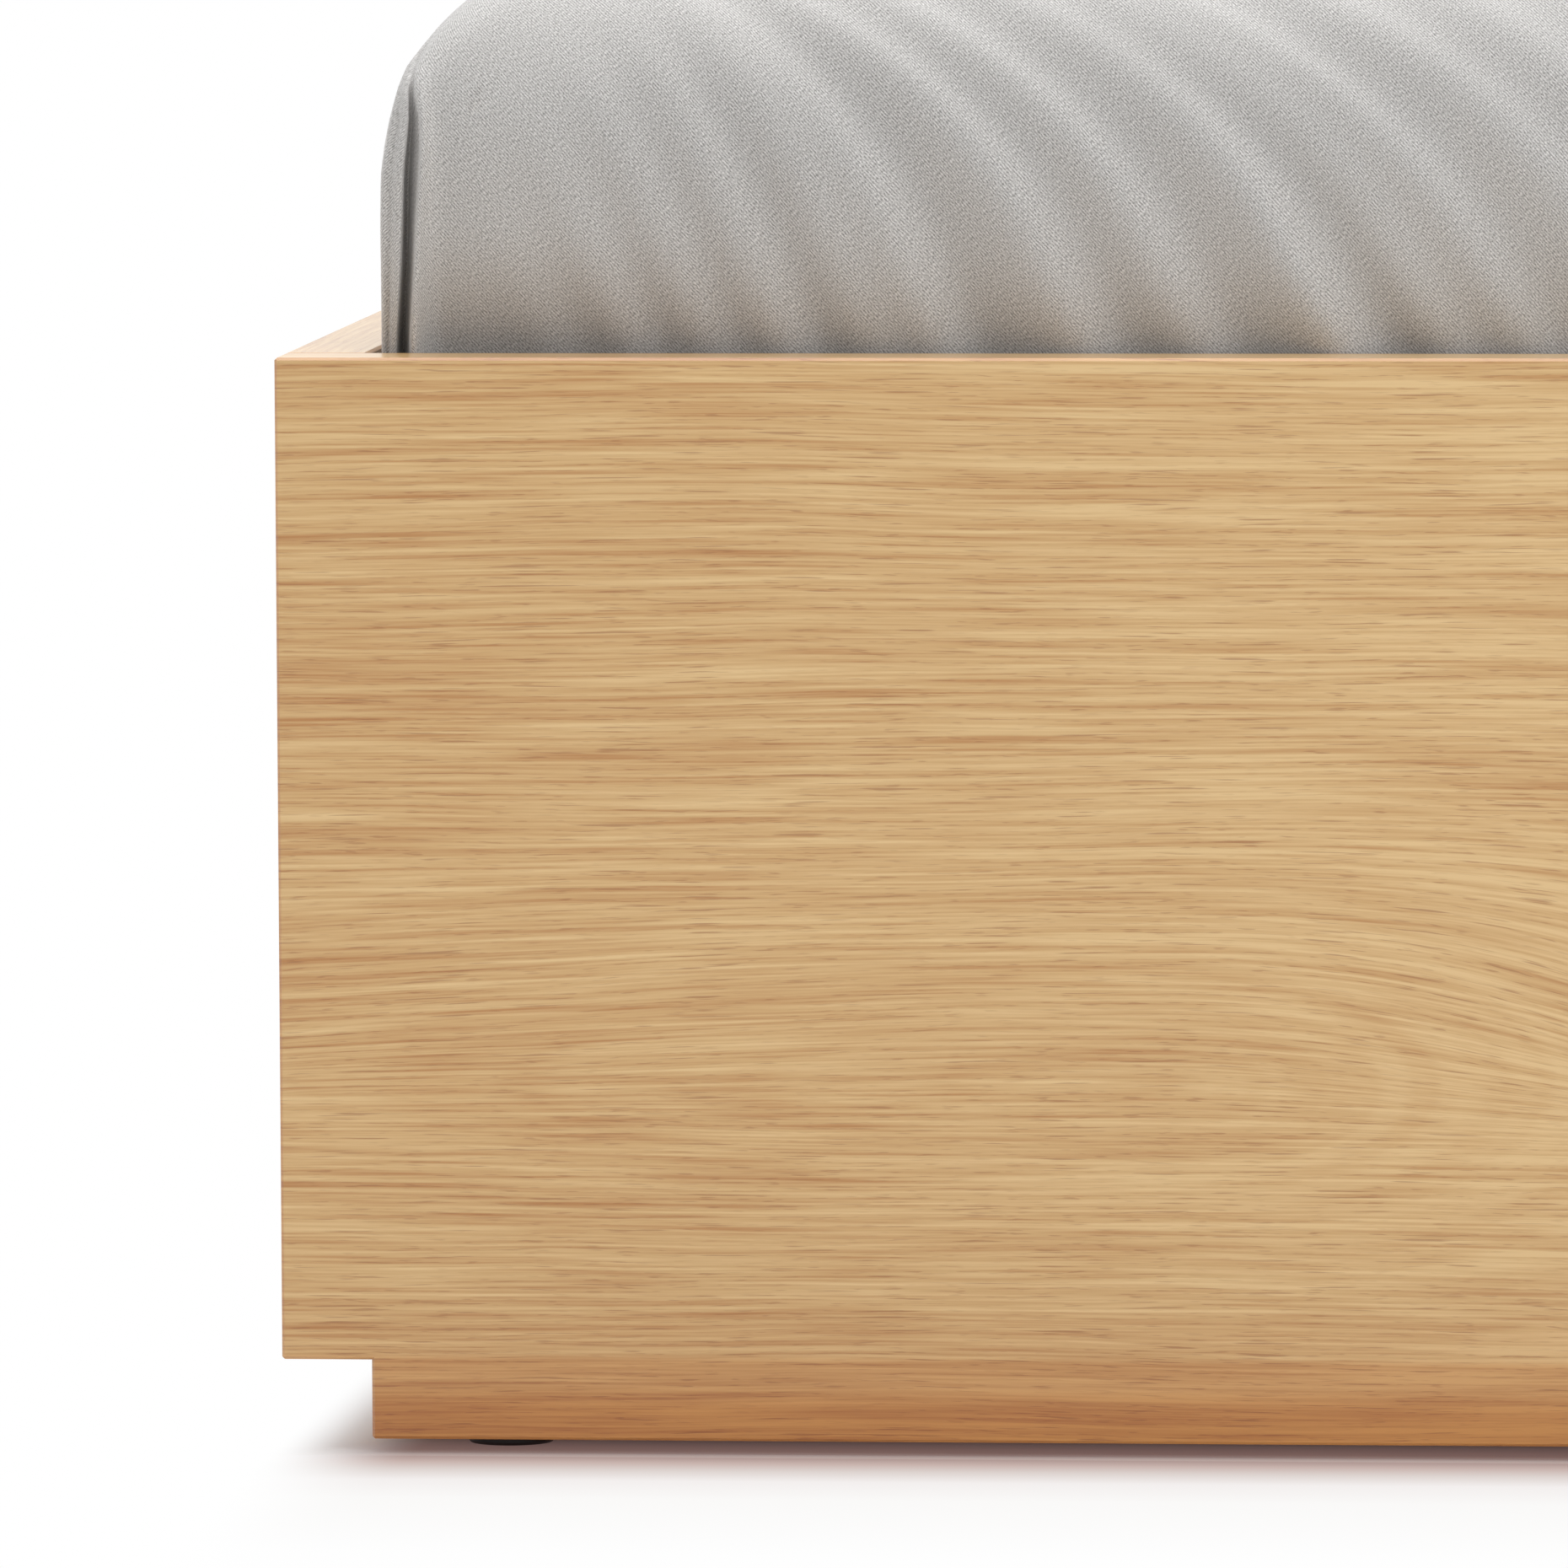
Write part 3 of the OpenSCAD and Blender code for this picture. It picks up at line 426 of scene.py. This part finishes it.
def cornerCurve(inset, height, closing, tuck):
    # plan of one corner, from the side face to the end face, which is tucked in by this much
    c, p = sheetCut, pleatCut
    fade = 1 - smooth((inset - c["rollRadius"]) / c["crownRun"])
    radius = 0.0 if closing else fade * min(c["cornerRadius"] + c["cornerSpread"] * inset, c["mostCorner"])
    sideReach, endReach = max(radius, p["sideReach"] / 1000 * fade), max(radius, p["endReach"] / 1000 * fade)
    arc = [(radius * (1 - math.cos(a)), radius * (1 - math.sin(a))) for a in np.linspace(0, math.pi / 2, 24)]
    heights, *columns = zip(*pleatPlaces)
    flap, ridge, ridgeOut, flapOut, valley = (np.interp(height, heights, column) for column in columns)
    last = len(pleatPlan) - 1
    order = np.linspace(0, last, p["steps"])

    def lengthAt(x):
        # length of the round corner up to this far in from the side face
        if x < radius:
            return sideReach - radius + radius * math.acos(1 - x / radius)
        return sideReach - radius + radius * math.pi / 2 + x - radius

    # the round corner without a pleat, with its points where the flap's edge and the ridge come out
    whole = lengthAt(endReach) if endReach else 1.0
    keyOn, placeOn = p["pastRidge"]
    keys = [0, p["flapKey"], p["ridgeKey"], p["ridgeKey"] + keyOn, last]
    shares = [lengthAt(x / 1000 * fade) / whole for x in (flap, ridge, ridge + placeOn)]
    closed = alongLine([(0, sideReach + 1e-9), *arc, (endReach + 1e-9, 0)], np.interp(order, keys, [0, *shares, 1]))
    # the ridge and the flap stand out of it, with a shallow valley between
    inward = np.gradient(closed, axis=0)[:, ::-1] * (-1, 1)
    inward /= np.linalg.norm(inward, axis=1)[:, None] + 1e-12
    ends = smooth(order / p["hillEnds"]) * smooth((last - order) / p["hillEnds"])
    flapHill, ridgeHill, hollowHill = (
        ends * np.exp(-(((order - key) / width) ** 2))
        for key, width in (p["flapHill"], p["ridgeHill"], p["hollowHill"]))
    start, run = p["hollowFrom"]
    hollow = p["hollow"] * valley * smooth((height - start) / run)
    closed -= inward * (ridgeOut * ridgeHill + flapOut * flapHill - hollow * hollowHill)[:, None] / 1000

    # the open pleat
    opened = pleatShut + (pleatOpen - pleatShut) * valley
    edge, far = p["flapEdge"], p["endReach"]
    onFlap = np.clip(1 - opened[:, 0] / edge, 0, 1) * np.clip(1 - opened[:, 1] / p["flapLength"], 0, 1)
    opened[:, 0] = np.interp(opened[:, 0], [0, edge, p["ridgeAt"], far], [0, flap, ridge, far]) - flapOut * onFlap
    start, run = p["lowFrom"]
    dip = p["lowDip"] * smooth((start - height) / run)  # low down the flap lies deeper
    end, taper = p["lowLength"]
    dip = dip * np.clip((edge - opened[:, 0]) / p["lowEdge"], 0, 1) * np.clip((end - opened[:, 1]) / taper, 0, 1)
    opened[:, 1] += dip
    opened[:, 1] += 1000 * tuck * smooth((opened[:, 0] - ridge - p["tuckFrom"]) / p["tuckRun"])
    top, run = p["top"]
    share = smooth((top - height) / run) * smooth((height - sideStart) / p["start"])
    if inset > c["rollRadius"] or height <= sideStart:
        share = 0.0
    return closed * (1 - share) + opened / 1000 * share, sideReach, endReach


def spacing(parts):
    # shares of a side, from (end share, number of steps) parts
    places = [0.0]
    for end, count in parts:
        places += list(np.linspace(places[-1], end, count + 1)[1:])
    return np.array(places)


acrossPlaces = spacing([(0.30, 72), (0.36, 8), (0.92, 36), (1.0, 10)])
alongPlaces = spacing([(0.05, 9), (0.95, 100), (1.0, 9)])

# Slack drawn into soft folds that lean towards the nearer corner as they climb. Each is a place along the rim in
# metres, and its strength there and high up. The foot's left ones are the photograph's.
footFolds = [
    (-0.734, 1.0, 0.6), (-0.703, 1.2, 0.9), (-0.675, 1.2, 1.1), (-0.646, 1.35, 1.3), (-0.614, 0.9, 1.1),
    (-0.590, 1.35, 1.3), (-0.536, 1.2, 1.1), (-0.494, 1.05, 1.0), (-0.441, 1.8, 0.7), (-0.403, 0.8, 0.5),
    (-0.373, 0.9, 0.9),
]
footFolds += [
    (-0.327 + 0.047 * k + 0.013 * math.sin(5.3 * k), 0.75 + 0.35 * math.sin(2.3 * k), 0.7 + 0.3 * math.sin(3.1 * k))
    for k in range(23)]
sideFolds = [
    (-0.93 + 0.052 * k + 0.016 * math.sin(4.1 * k), 0.70 + 0.35 * math.sin(1.9 * k), 0.7 + 0.3 * math.sin(2.7 * k))
    for k in range(36)]
# Pairs of lists are read as a curve: at these lengths up the cloth or from the corner, these values
foldCut = {
    "height": 0.0034, "heightUp": ([0, 0.05, 0.08, 0.10, 0.12], [1.05, 1.35, 1.30, 1.1, 0.70]),
    "strengthUp": [0.03, 0.105], "widthUp": ([0.04, 0.12], [0.0066, 0.0095]), "spread": 0.030,
    "turnRun": 0.35,  # towards the bed's middle the folds stand up and fade
    "leanIn": ([0.20, 0.43], [0.40, 0.60]), "curlIn": ([0.15, 0.26], [1.5, 6.0]), "curlStart": 0.045,
    "crest": 0.30, "crestAside": 0.005, "crestWidth": 0.011,
    "endFade": 0.07, "below": (0.062, 0.05), "above": (0.215, 0.10),  # none under the boards or on the top
}


def foldHeight(run, up, folds, half):
    # run along the side, up the cloth from the rim; each fold falls steeply on its upper flank
    c = foldCut
    up = max(up, 0.0)
    width = np.interp(up, *c["widthUp"])
    total = np.zeros_like(run)
    for at, low, high in folds:
        turn = max(-1.0, min(1.0, -at / c["turnRun"]))
        curl = np.interp(half - abs(at), *c["curlIn"])
        lean = np.interp(half - abs(at), *c["leanIn"])
        aside = run - at + (lean * up + curl * max(up - c["curlStart"], 0) ** 2) * turn
        size = np.interp(up, c["strengthUp"], [low, high])
        crest = np.exp(-(((aside + c["crestAside"] * turn) / c["crestWidth"]) ** 2))
        total -= size * turn * np.tanh(aside / width) * np.exp(-((aside / c["spread"]) ** 2))
        total += size * abs(turn) * c["crest"] * crest
    return total * np.interp(up, *c["heightUp"]) * c["height"]


def noiseAt(points, scale, seed):
    return np.array([noise.noise(Vector((p[0] * scale, p[1] * scale, p[2] * scale + seed))) for p in points])


def sheetPoints(rows):
    # rings of points, round from the foot's left end, and their places on the flat cloth
    c, f = sheetCut, foldCut
    steps = pleatCut["steps"]
    onEnd = (np.arange(steps) > pleatCut["flapColumn"])[:, None]
    rings, cloth = [], []
    for inset, z, up, length in rows:
        closing = inset >= c["rollRadius"] + c["crownRun"] - 1e-6  # the last ring has square corners
        w, l = halfWidth - inset, halfLength - inset
        tuck = beside = 0.0
        if up >= 0:
            tuck = c["tuck"] * smooth((c["tuckTop"] - length) / c["tuckRun"])
            tuck *= smooth((z - sideStart) / pleatCut["start"] - 0.5)
            beside = sum(depth * smooth((top - z) / c["besideRun"]) for depth, top in c["beside"])
            beside *= smooth((z - sideStart) / c["besideRun"])
        corner, sideReach, endReach = cornerCurve(inset, z, closing, tuck + beside)
        if closing:
            sideReach = endReach = 0.0
            corner = corner * 0
        halfX, halfY = w - endReach, l - sideReach
        x, y = acrossPlaces * 2 * halfX - halfX, alongPlaces * 2 * halfY - halfY
        out = 1 - abs(up) if up < 0 else math.sqrt(max(0, 1 - up * up))
        (below, belowRun), (above, aboveRun) = f["below"], f["above"]
        fade = smooth((length + below) / belowRun) * smooth((above - length) / aboveRun)
        start, run = c["gatherFrom"]
        gather = c["gather"] * smooth((inset - start) / run) if up == -1 else 0.0
        quick, swing, slow = c["gatherWaves"]

        def lift(run, folds, half, full):
            return foldHeight(run, length, folds, full) * smooth((half - np.abs(run)) / f["endFade"]) * fade

        def heightAt(run, half):
            # level, apart from the turn, which gathers towards its elastic
            ripple = 0.5 + 0.5 * np.sin(run * quick + swing * np.sin(run * slow))
            return z + gather * ripple * smooth((half - np.abs(run)) / c["gatherEdge"])

        foot, head = lift(x, footFolds, halfX, halfWidth), lift(-x, footFolds, halfX, halfWidth)
        right, left = lift(y, sideFolds, halfY, halfLength), lift(-y, sideFolds, halfY, halfLength)
        near = halfX - np.abs(x)
        inEnd = tuck * (1 - c["tuckShare"] * smooth(near / c["tuckReach"]))
        inEnd += beside * (1 - smooth(near / c["besideReach"]))
        inSide = tuck * smooth((halfY - np.abs(y)) / c["tuckEdge"])
        raised = max(up, 0)
        cx, cy = corner[:, 0], corner[:, 1]
        level = np.full(steps, z)
        rings.append(np.concatenate([
            np.column_stack([x, inEnd - l - foot * out, heightAt(x, halfX) + foot * raised]),
            np.column_stack([w - cx, cy - l, level])[::-1],
            np.column_stack([w + right * out - inSide, y, heightAt(y, halfY) + right * raised]),
            np.column_stack([w - cx, l - cy, level]),
            np.column_stack([x, l + head * out - inEnd, heightAt(x, halfX) + head * raised])[::-1],
            np.column_stack([cx - w, l - cy, level])[::-1],
            np.column_stack([inSide - w - left * out, y, heightAt(y, halfY) + left * raised])[::-1],
            np.column_stack([cx - w, cy - l, level]),
        ]))

        # flat cloth: past the roll's top the place itself, down the side the length of cloth
        flatX, flatY = w, l
        if inset <= c["rollRadius"] or up < 0:
            drop = c["sideTop"] - c["rim"] + c["rollRadius"] * math.pi / 2 - length
            flatX, flatY = (half - c["rollRadius"] + drop for half in (halfWidth, halfLength))
        lengths = np.r_[0, np.cumsum(np.linalg.norm(np.diff(corner, axis=0), axis=1))]
        endX, sideY = halfX + lengths[-1] - lengths, halfY + lengths

        def flatCorner(across, along):
            return np.where(onEnd, np.column_stack([across * endX, np.full(steps, along * flatY)]),
                            np.column_stack([np.full(steps, across * flatX), along * sideY]))

        cloth.append(np.concatenate([
            np.column_stack([x, np.full_like(x, -flatY)]), flatCorner(1, -1)[::-1],
            np.column_stack([np.full_like(y, flatX), y]), flatCorner(1, 1),
            np.column_stack([x, np.full_like(x, flatY)])[::-1], flatCorner(-1, 1)[::-1],
            np.column_stack([np.full_like(y, -flatX), y])[::-1], flatCorner(-1, -1),
        ]))
    return np.array(rings), np.array(cloth)


def linkMesh(name, points, faces, uv, material):
    # uv: a flat place in metres for each point
    mesh = bpy.data.meshes.new(name)
    mesh.from_pydata(points.tolist(), [], faces)
    layer = mesh.uv_layers.new(name="UVMap")
    corners = np.zeros(len(mesh.loops), int)
    mesh.loops.foreach_get("vertex_index", corners)
    layer.data.foreach_set("uv", uv[corners].astype(np.float32).ravel())
    mesh.polygons.foreach_set("use_smooth", [True] * len(mesh.polygons))
    mesh.materials.append(material)
    piece = bpy.data.objects.new(name, mesh)
    bpy.context.scene.collection.objects.link(piece)
    return piece


def buildSheet():
    c = sheetCut
    rows = profile()
    rings, cloth = sheetPoints(rows)
    count = rings.shape[1]
    points, uv = rings.reshape(-1, 3), cloth.reshape(-1, 2)
    faces = [(r * count + k, r * count + (k + 1) % count, (r + 1) * count + (k + 1) % count, (r + 1) * count + k)
             for r in range(len(rings) - 1) for k in range(count)]
    # the middle of the top, joined to the last ring
    inset, top = rows[-1][:2]
    w, l = halfWidth - inset, halfLength - inset
    gx, gy = np.meshgrid(-w + acrossPlaces * 2 * w, -l + alongPlaces * 2 * l, indexing="ij")
    middle = np.column_stack([gx.ravel(), gy.ravel(), np.full(gx.size, top)])
    nx, ny, base = len(acrossPlaces), len(alongPlaces), len(points)
    faces += [(base + i * ny + j, base + (i + 1) * ny + j, base + (i + 1) * ny + j + 1, base + i * ny + j + 1)
              for i in range(nx - 1) for j in range(ny - 1)]
    points = np.vstack([points, middle])
    uv = np.vstack([uv, middle[:, :2]])
    # crown, and soft unevenness of the top that dies out down the roll
    start, run = c["topFrom"]
    topShare = smooth((points[:, 2] - start) / run)
    fx = np.clip(np.abs(points[:, 0]) / (halfWidth - c["rollRadius"]), 0, 1)
    fy = np.clip(np.abs(points[:, 1]) / (halfLength - c["rollRadius"]), 0, 1)
    points[:, 2] += c["crown"] * (1 - fx**2) * (1 - fy**2) * topShare
    uneven = sum(depth * noiseAt(points, waves, seed) for depth, waves, seed in c["unevenness"])
    points[:, 2] += topShare * (uneven - c["settle"])
    piece = linkMesh("fitted_sheet_cloth", points, faces, uv, satin)
    work = bmesh.new()
    work.from_mesh(piece.data)
    bmesh.ops.remove_doubles(work, verts=work.verts, dist=2e-5)
    bmesh.ops.recalc_face_normals(work, faces=work.faces)
    work.to_mesh(piece.data)
    work.free()
    area = sum(p.area for p in piece.data.polygons)
    print("sheet:", len(piece.data.polygons), "faces,", round(area, 3), "square metres")
    return piece


# Elastic in the turn's hem: a flat cord round the opening under the mattress, bunched into small ripples
hemCut = {
    "halfThick": 0.0008, "halfWide": 0.0045, "corner": 0.05, "step": 0.0018, "gap": 0.0002,
    "ripple": 0.0055, "waver": (1.5, 60), "narrow": 0.18, "thin": 0.55,  # each ripple's length, and what it takes off
}


def buildHem():
    c = hemCut
    w, l, r = halfWidth - sheetCut["turn"], halfLength - sheetCut["turn"], c["corner"]
    outline = []
    for cx, cy, start in ((w - r, l - r, 0), (r - w, l - r, 90), (r - w, r - l, 180), (w - r, r - l, 270)):
        angles = np.radians(np.linspace(start, start + 90, 25))
        outline += [(cx + r * math.cos(a), cy + r * math.sin(a)) for a in angles]
    outline = np.array(outline + outline[:1])
    total = np.linalg.norm(np.diff(outline, axis=0), axis=1).sum()
    count = int(total / c["step"])
    middle = alongLine(outline, np.linspace(0, 1, count + 1)[:-1])
    ahead = np.roll(middle, -1, axis=0) - np.roll(middle, 1, axis=0)
    side = np.column_stack([ahead[:, 1], -ahead[:, 0]]) / np.linalg.norm(ahead, axis=1)[:, None]
    run = np.arange(count) * total / count
    swing, waves = c["waver"]
    pinch = 0.5 - 0.5 * np.sin(2 * math.pi * run / c["ripple"] + swing * np.sin(run * waves))
    z = underZ + c["gap"] + c["halfThick"]
    turns = np.radians(np.arange(0, 360, 45))
    points = np.concatenate([
        np.column_stack([
            middle + side * (math.cos(a) * c["halfWide"] * (1 - c["narrow"] * pinch))[:, None],
            z + math.sin(a) * c["halfThick"] * (1 - c["thin"] * pinch),
        ]) for a in turns
    ])
    sides = len(turns)
    faces = []
    for k in range(sides):
        here, there = k * count, (k + 1) % sides * count
        faces += [(here + i, here + (i + 1) % count, there + (i + 1) % count, there + i) for i in range(count)]
    uv = np.concatenate([np.column_stack([run, np.full_like(run, k * 0.002)]) for k in range(sides)])
    return linkMesh("fitted_sheet_hem", points, faces, uv, satin)


sheetPiece = buildSheet()
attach(sheetPiece, "mattress")
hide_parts("fitted_sheet")
hemPiece = buildHem()
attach(hemPiece, "mattress")


def selectNothing():
    if bpy.context.mode != "OBJECT":
        bpy.ops.object.mode_set(mode="OBJECT")
    bpy.ops.object.select_all(action="DESELECT")


# Mattress padding: one block with round corners in plan, a rolled top border and a small round at its base.
# Each round is its radius and its number of steps
mattressBlock = {
    "halfWidth": 0.783, "halfLength": 0.983, "bottom": 0.3145, "top": 0.5465,
    "corner": (0.095, 10), "roll": (0.080, 10), "base": (0.010, 4), "smoothAngle": 40,
}


def buildMattress():
    c = mattressBlock
    selectNothing()
    bottom, top = c["bottom"], c["top"]
    size = (c["halfWidth"], c["halfLength"], (top - bottom) / 2)
    bpy.ops.mesh.primitive_cube_add(size=2, location=(0, 0, (bottom + top) / 2), scale=size)
    piece = bpy.context.object
    piece.name = piece.data.name = "mattress_padding"
    bpy.ops.object.transform_apply(location=True, rotation=True, scale=True)
    for (radius, steps), chosen in (
        (c["corner"], lambda a, b: abs(a.z - b.z) > 0.1),  # upright edges
        (c["roll"], lambda a, b: min(a.z, b.z) > top - 0.001),
        (c["base"], lambda a, b: max(a.z, b.z) < bottom + 0.001),
    ):
        bpy.ops.object.mode_set(mode="EDIT")
        bpy.ops.mesh.select_mode(type="EDGE")
        bpy.ops.mesh.select_all(action="DESELECT")
        bpy.ops.object.mode_set(mode="OBJECT")
        at = piece.data.vertices
        for edge in piece.data.edges:
            edge.select = chosen(*[at[i].co for i in edge.vertices])
        bpy.ops.object.mode_set(mode="EDIT")
        bpy.ops.mesh.bevel(offset=radius, segments=steps, affect="EDGES")
    bpy.ops.mesh.select_all(action="SELECT")
    bpy.ops.uv.cube_project(cube_size=1.0, scale_to_bounds=False)
    bpy.ops.object.mode_set(mode="OBJECT")
    bpy.ops.object.shade_smooth_by_angle(angle=math.radians(c["smoothAngle"]))
    piece.data.materials.append(ticking)
    return piece


mattressPiece = buildMattress()
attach(mattressPiece, "mattress")
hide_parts("mattress_core", "comfort_layer", "mattress_cover", "mattress_base")
print("mattress and sheet made")


# Webbing that spaces the slats: tacked under each one, and hanging a little between them
strapCut = {"sag": 0.0035, "sagPower": 1.3, "edge": 0.0009, "step": 0.006}


def buildStrap(name):
    low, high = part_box(name)
    c = strapCut
    slats = sorted((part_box(slat)[0].y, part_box(slat)[1].y) for slat in slatNames)
    count = int((high.y - low.y) / c["step"])
    y = np.linspace(low.y, high.y, count)
    drop = np.zeros(count)
    for (_, start), (end, _) in zip(slats, slats[1:]):
        share = np.clip((y - start) / (end - start), 0, 1)
        drop += c["sag"] * np.sin(share * math.pi) ** c["sagPower"]
    middle, half, edge, thick = (low.x + high.x) / 2, (high.x - low.x) / 2, c["edge"], high.z - low.z
    around = [(-half, -thick / 2), (edge - half, 0), (-half / 3, 0), (half / 3, 0), (half - edge, 0),
              (half, -thick / 2), (half - edge, -thick), (half / 3, -thick), (-half / 3, -thick), (edge - half, -thick)]
    points = np.concatenate([np.column_stack([np.full_like(y, middle + x), y, high.z - drop + z]) for x, z in around])
    sides = len(around)
    faces = []
    for k in range(sides):
        here, there = k * count, (k + 1) % sides * count
        faces += [(here + i, here + i + 1, there + i + 1, there + i) for i in range(count - 1)]
    faces += [tuple(k * count for k in range(sides)), tuple(k * count + count - 1 for k in reversed(range(sides)))]
    uv = np.concatenate([np.column_stack([np.full_like(y, x), y]) for x, _ in around])
    return linkMesh(name + "_webbing", points, faces, uv, webbing)


for strapName in ("left_slat_strap", "right_slat_strap"):
    strap = buildStrap(strapName)
    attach(strap, "frame")
    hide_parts(strapName)
print("straps made")


# Floor, light and camera
stageSet = {
    "radius": 14.0, "halfWidth": 0.835, "halfLength": 1.035, "colour": (0.86, 0.85, 0.84, 1),
    "sideWhite": (0.785, 0.840),  # at the long sides the recess hides the shadow
    "reach": 0.30,  # length of the shadow before the ends, along which these colours run
    # painted shadow: the floor in front of the ends shows these colours as emission
    "shadow": [(0.0, "#886D69"), (0.03, "#AC948F"), (0.09, "#C9B4AE"), (0.165, "#DDD3CF"), (0.27, "#F3EFEE"),
               (0.45, "#FAF9F8"), (1.0, "#FEFEFE")],
    "underEdge": 0.08, "underShare": 0.72, "outerEdge": 0.012,
}
# Each lamp: power, size, place and target
lightSet = {
    "world": 0.275,
    "top_softbox": (440.0, 6.8, (-0.4, 0.4, 5.6), (-0.2, 0.0, 0.0)),
    "key_softbox": (77.0, 1.7, (2.6, -4.1, 2.4), (-0.4, -1.0, 0.4)),
    "left_softbox": (25.0, 1.4, (-4.6, -1.35, 1.1), (-0.8, -0.9, 0.4)),
}


def buildFloor():
    selectNothing()
    bpy.ops.mesh.primitive_circle_add(vertices=96, radius=stageSet["radius"], fill_type="NGON")
    floor = bpy.context.object
    floor.name = "floor"
    material, add = startMaterial("white_floor")
    c = stageSet
    at = add("SeparateXYZ", None, (add("TexCoord").outputs["Object"],))
    across, along = (add("Math", "ABSOLUTE", (at.outputs[axis],)) for axis in (0, 1))
    ahead = add("Math", "SUBTRACT", (along, c["halfLength"]))
    ramp = add("ValToRGB", None, (add("Math", "DIVIDE", (ahead, c["reach"])),))
    stops = ramp.color_ramp.elements
    stops[0].color, stops[1].color = linearColour(c["shadow"][0][1]), linearColour(c["shadow"][-1][1])
    for place, colour in c["shadow"][1:-1]:
        stops.new(place).color = linearColour(colour)
    beyondSide = add("MapRange", "SMOOTHSTEP", (across, *c["sideWhite"]))
    painted = add("Mix", "RGBA", {0: beyondSide, 6: ramp, 7: (1, 1, 1, 1)}).outputs[2]
    # the floor glows in the painted shadow's colours
    glow = add("Emission", None, {"Color": painted, "Strength": 1.0})
    # under the bed the floor takes the real light, apart from a strip along its border
    inside = add("Math", "MAXIMUM", (ahead, add("Math", "SUBTRACT", (across, c["halfWidth"]))))
    share = add("MapRange", "SMOOTHSTEP", (inside, -c["underEdge"], 0.0, 0.0, c["underShare"]))
    for part in (add("MapRange", "SMOOTHSTEP", (inside, 0.0, c["outerEdge"])), beyondSide):
        share = add("Math", "MAXIMUM", (share, part))
    path = add("LightPath").outputs
    seen = add("Math", "MAXIMUM", (path["Is Camera Ray"], path["Is Glossy Ray"]))
    seen = add("Math", "MAXIMUM", (seen, path["Is Transmission Ray"]))
    dull = add("BsdfDiffuse", None, {"Color": c["colour"]})
    lit = add("MixShader", None, (add("Math", "MULTIPLY", (share, seen)), dull, glow))
    # from below it is clear
    under = add("NewGeometry").outputs["Backfacing"]
    both = add("MixShader", None, (under, lit, add("BsdfTransparent")))
    add("OutputMaterial", None, {"Surface": both})
    floor.data.materials.append(material)


def buildWorld():
    world = bpy.context.scene.world or bpy.data.worlds.new("studio")
    bpy.context.scene.world = world
    world.use_nodes = True
    world.node_tree.nodes.clear()
    add = partial(addNode, world.node_tree)
    path = add("LightPath").outputs
    seen = add("Math", "MAXIMUM", (path["Is Camera Ray"], path["Is Glossy Ray"]))
    seen = add("Math", "MAXIMUM", (seen, path["Is Transmission Ray"]))
    level = add("MapRange", None, (seen, 0.0, 1.0, lightSet["world"], 1.0))
    add("OutputWorld", None, {"Surface": add("Background", None, {"Color": (1, 1, 1, 1), "Strength": level})})


def addLamp(name, power, size, place, target):
    lamp = bpy.data.lights.new(name, "AREA")
    lamp.shape, lamp.size, lamp.energy = "SQUARE", size, power
    holder = bpy.data.objects.new(name, lamp)
    holder.location = place
    holder.rotation_euler = (Vector(target) - Vector(place)).to_track_quat("-Z", "Y").to_euler()
    bpy.context.scene.collection.objects.link(holder)


buildFloor()
buildWorld()
for name in ("top_softbox", "key_softbox", "left_softbox"):
    addLamp(name, *lightSet[name])

cameraSet = {"place": (0.0911, -7.895, 0.8150), "azimuth": 6.162, "elevation": 4.721, "roll": -0.3315, "lens": 437.97}


def buildCamera():
    c = cameraSet
    camera = bpy.data.cameras.new("camera")
    camera.lens, camera.clip_start, camera.clip_end = c["lens"], 0.1, 200
    holder = bpy.data.objects.new("camera", camera)
    bpy.context.scene.collection.objects.link(holder)
    a, e, r = (math.radians(c[k]) for k in ("azimuth", "elevation", "roll"))
    back = Vector((math.sin(a) * math.cos(e), -math.cos(a) * math.cos(e), math.sin(e)))
    right = Vector((0, 0, 1)).cross(back).normalized()
    up = back.cross(right)
    right, up = right * math.cos(r) + up * math.sin(r), up * math.cos(r) - right * math.sin(r)
    turn = Matrix((right, up, back)).transposed().to_4x4()
    holder.matrix_world = Matrix.Translation(c["place"]) @ turn
    bpy.context.scene.camera = holder


buildCamera()
bpy.context.scene.view_settings.view_transform = "Standard"
print("stage, lights and camera set")
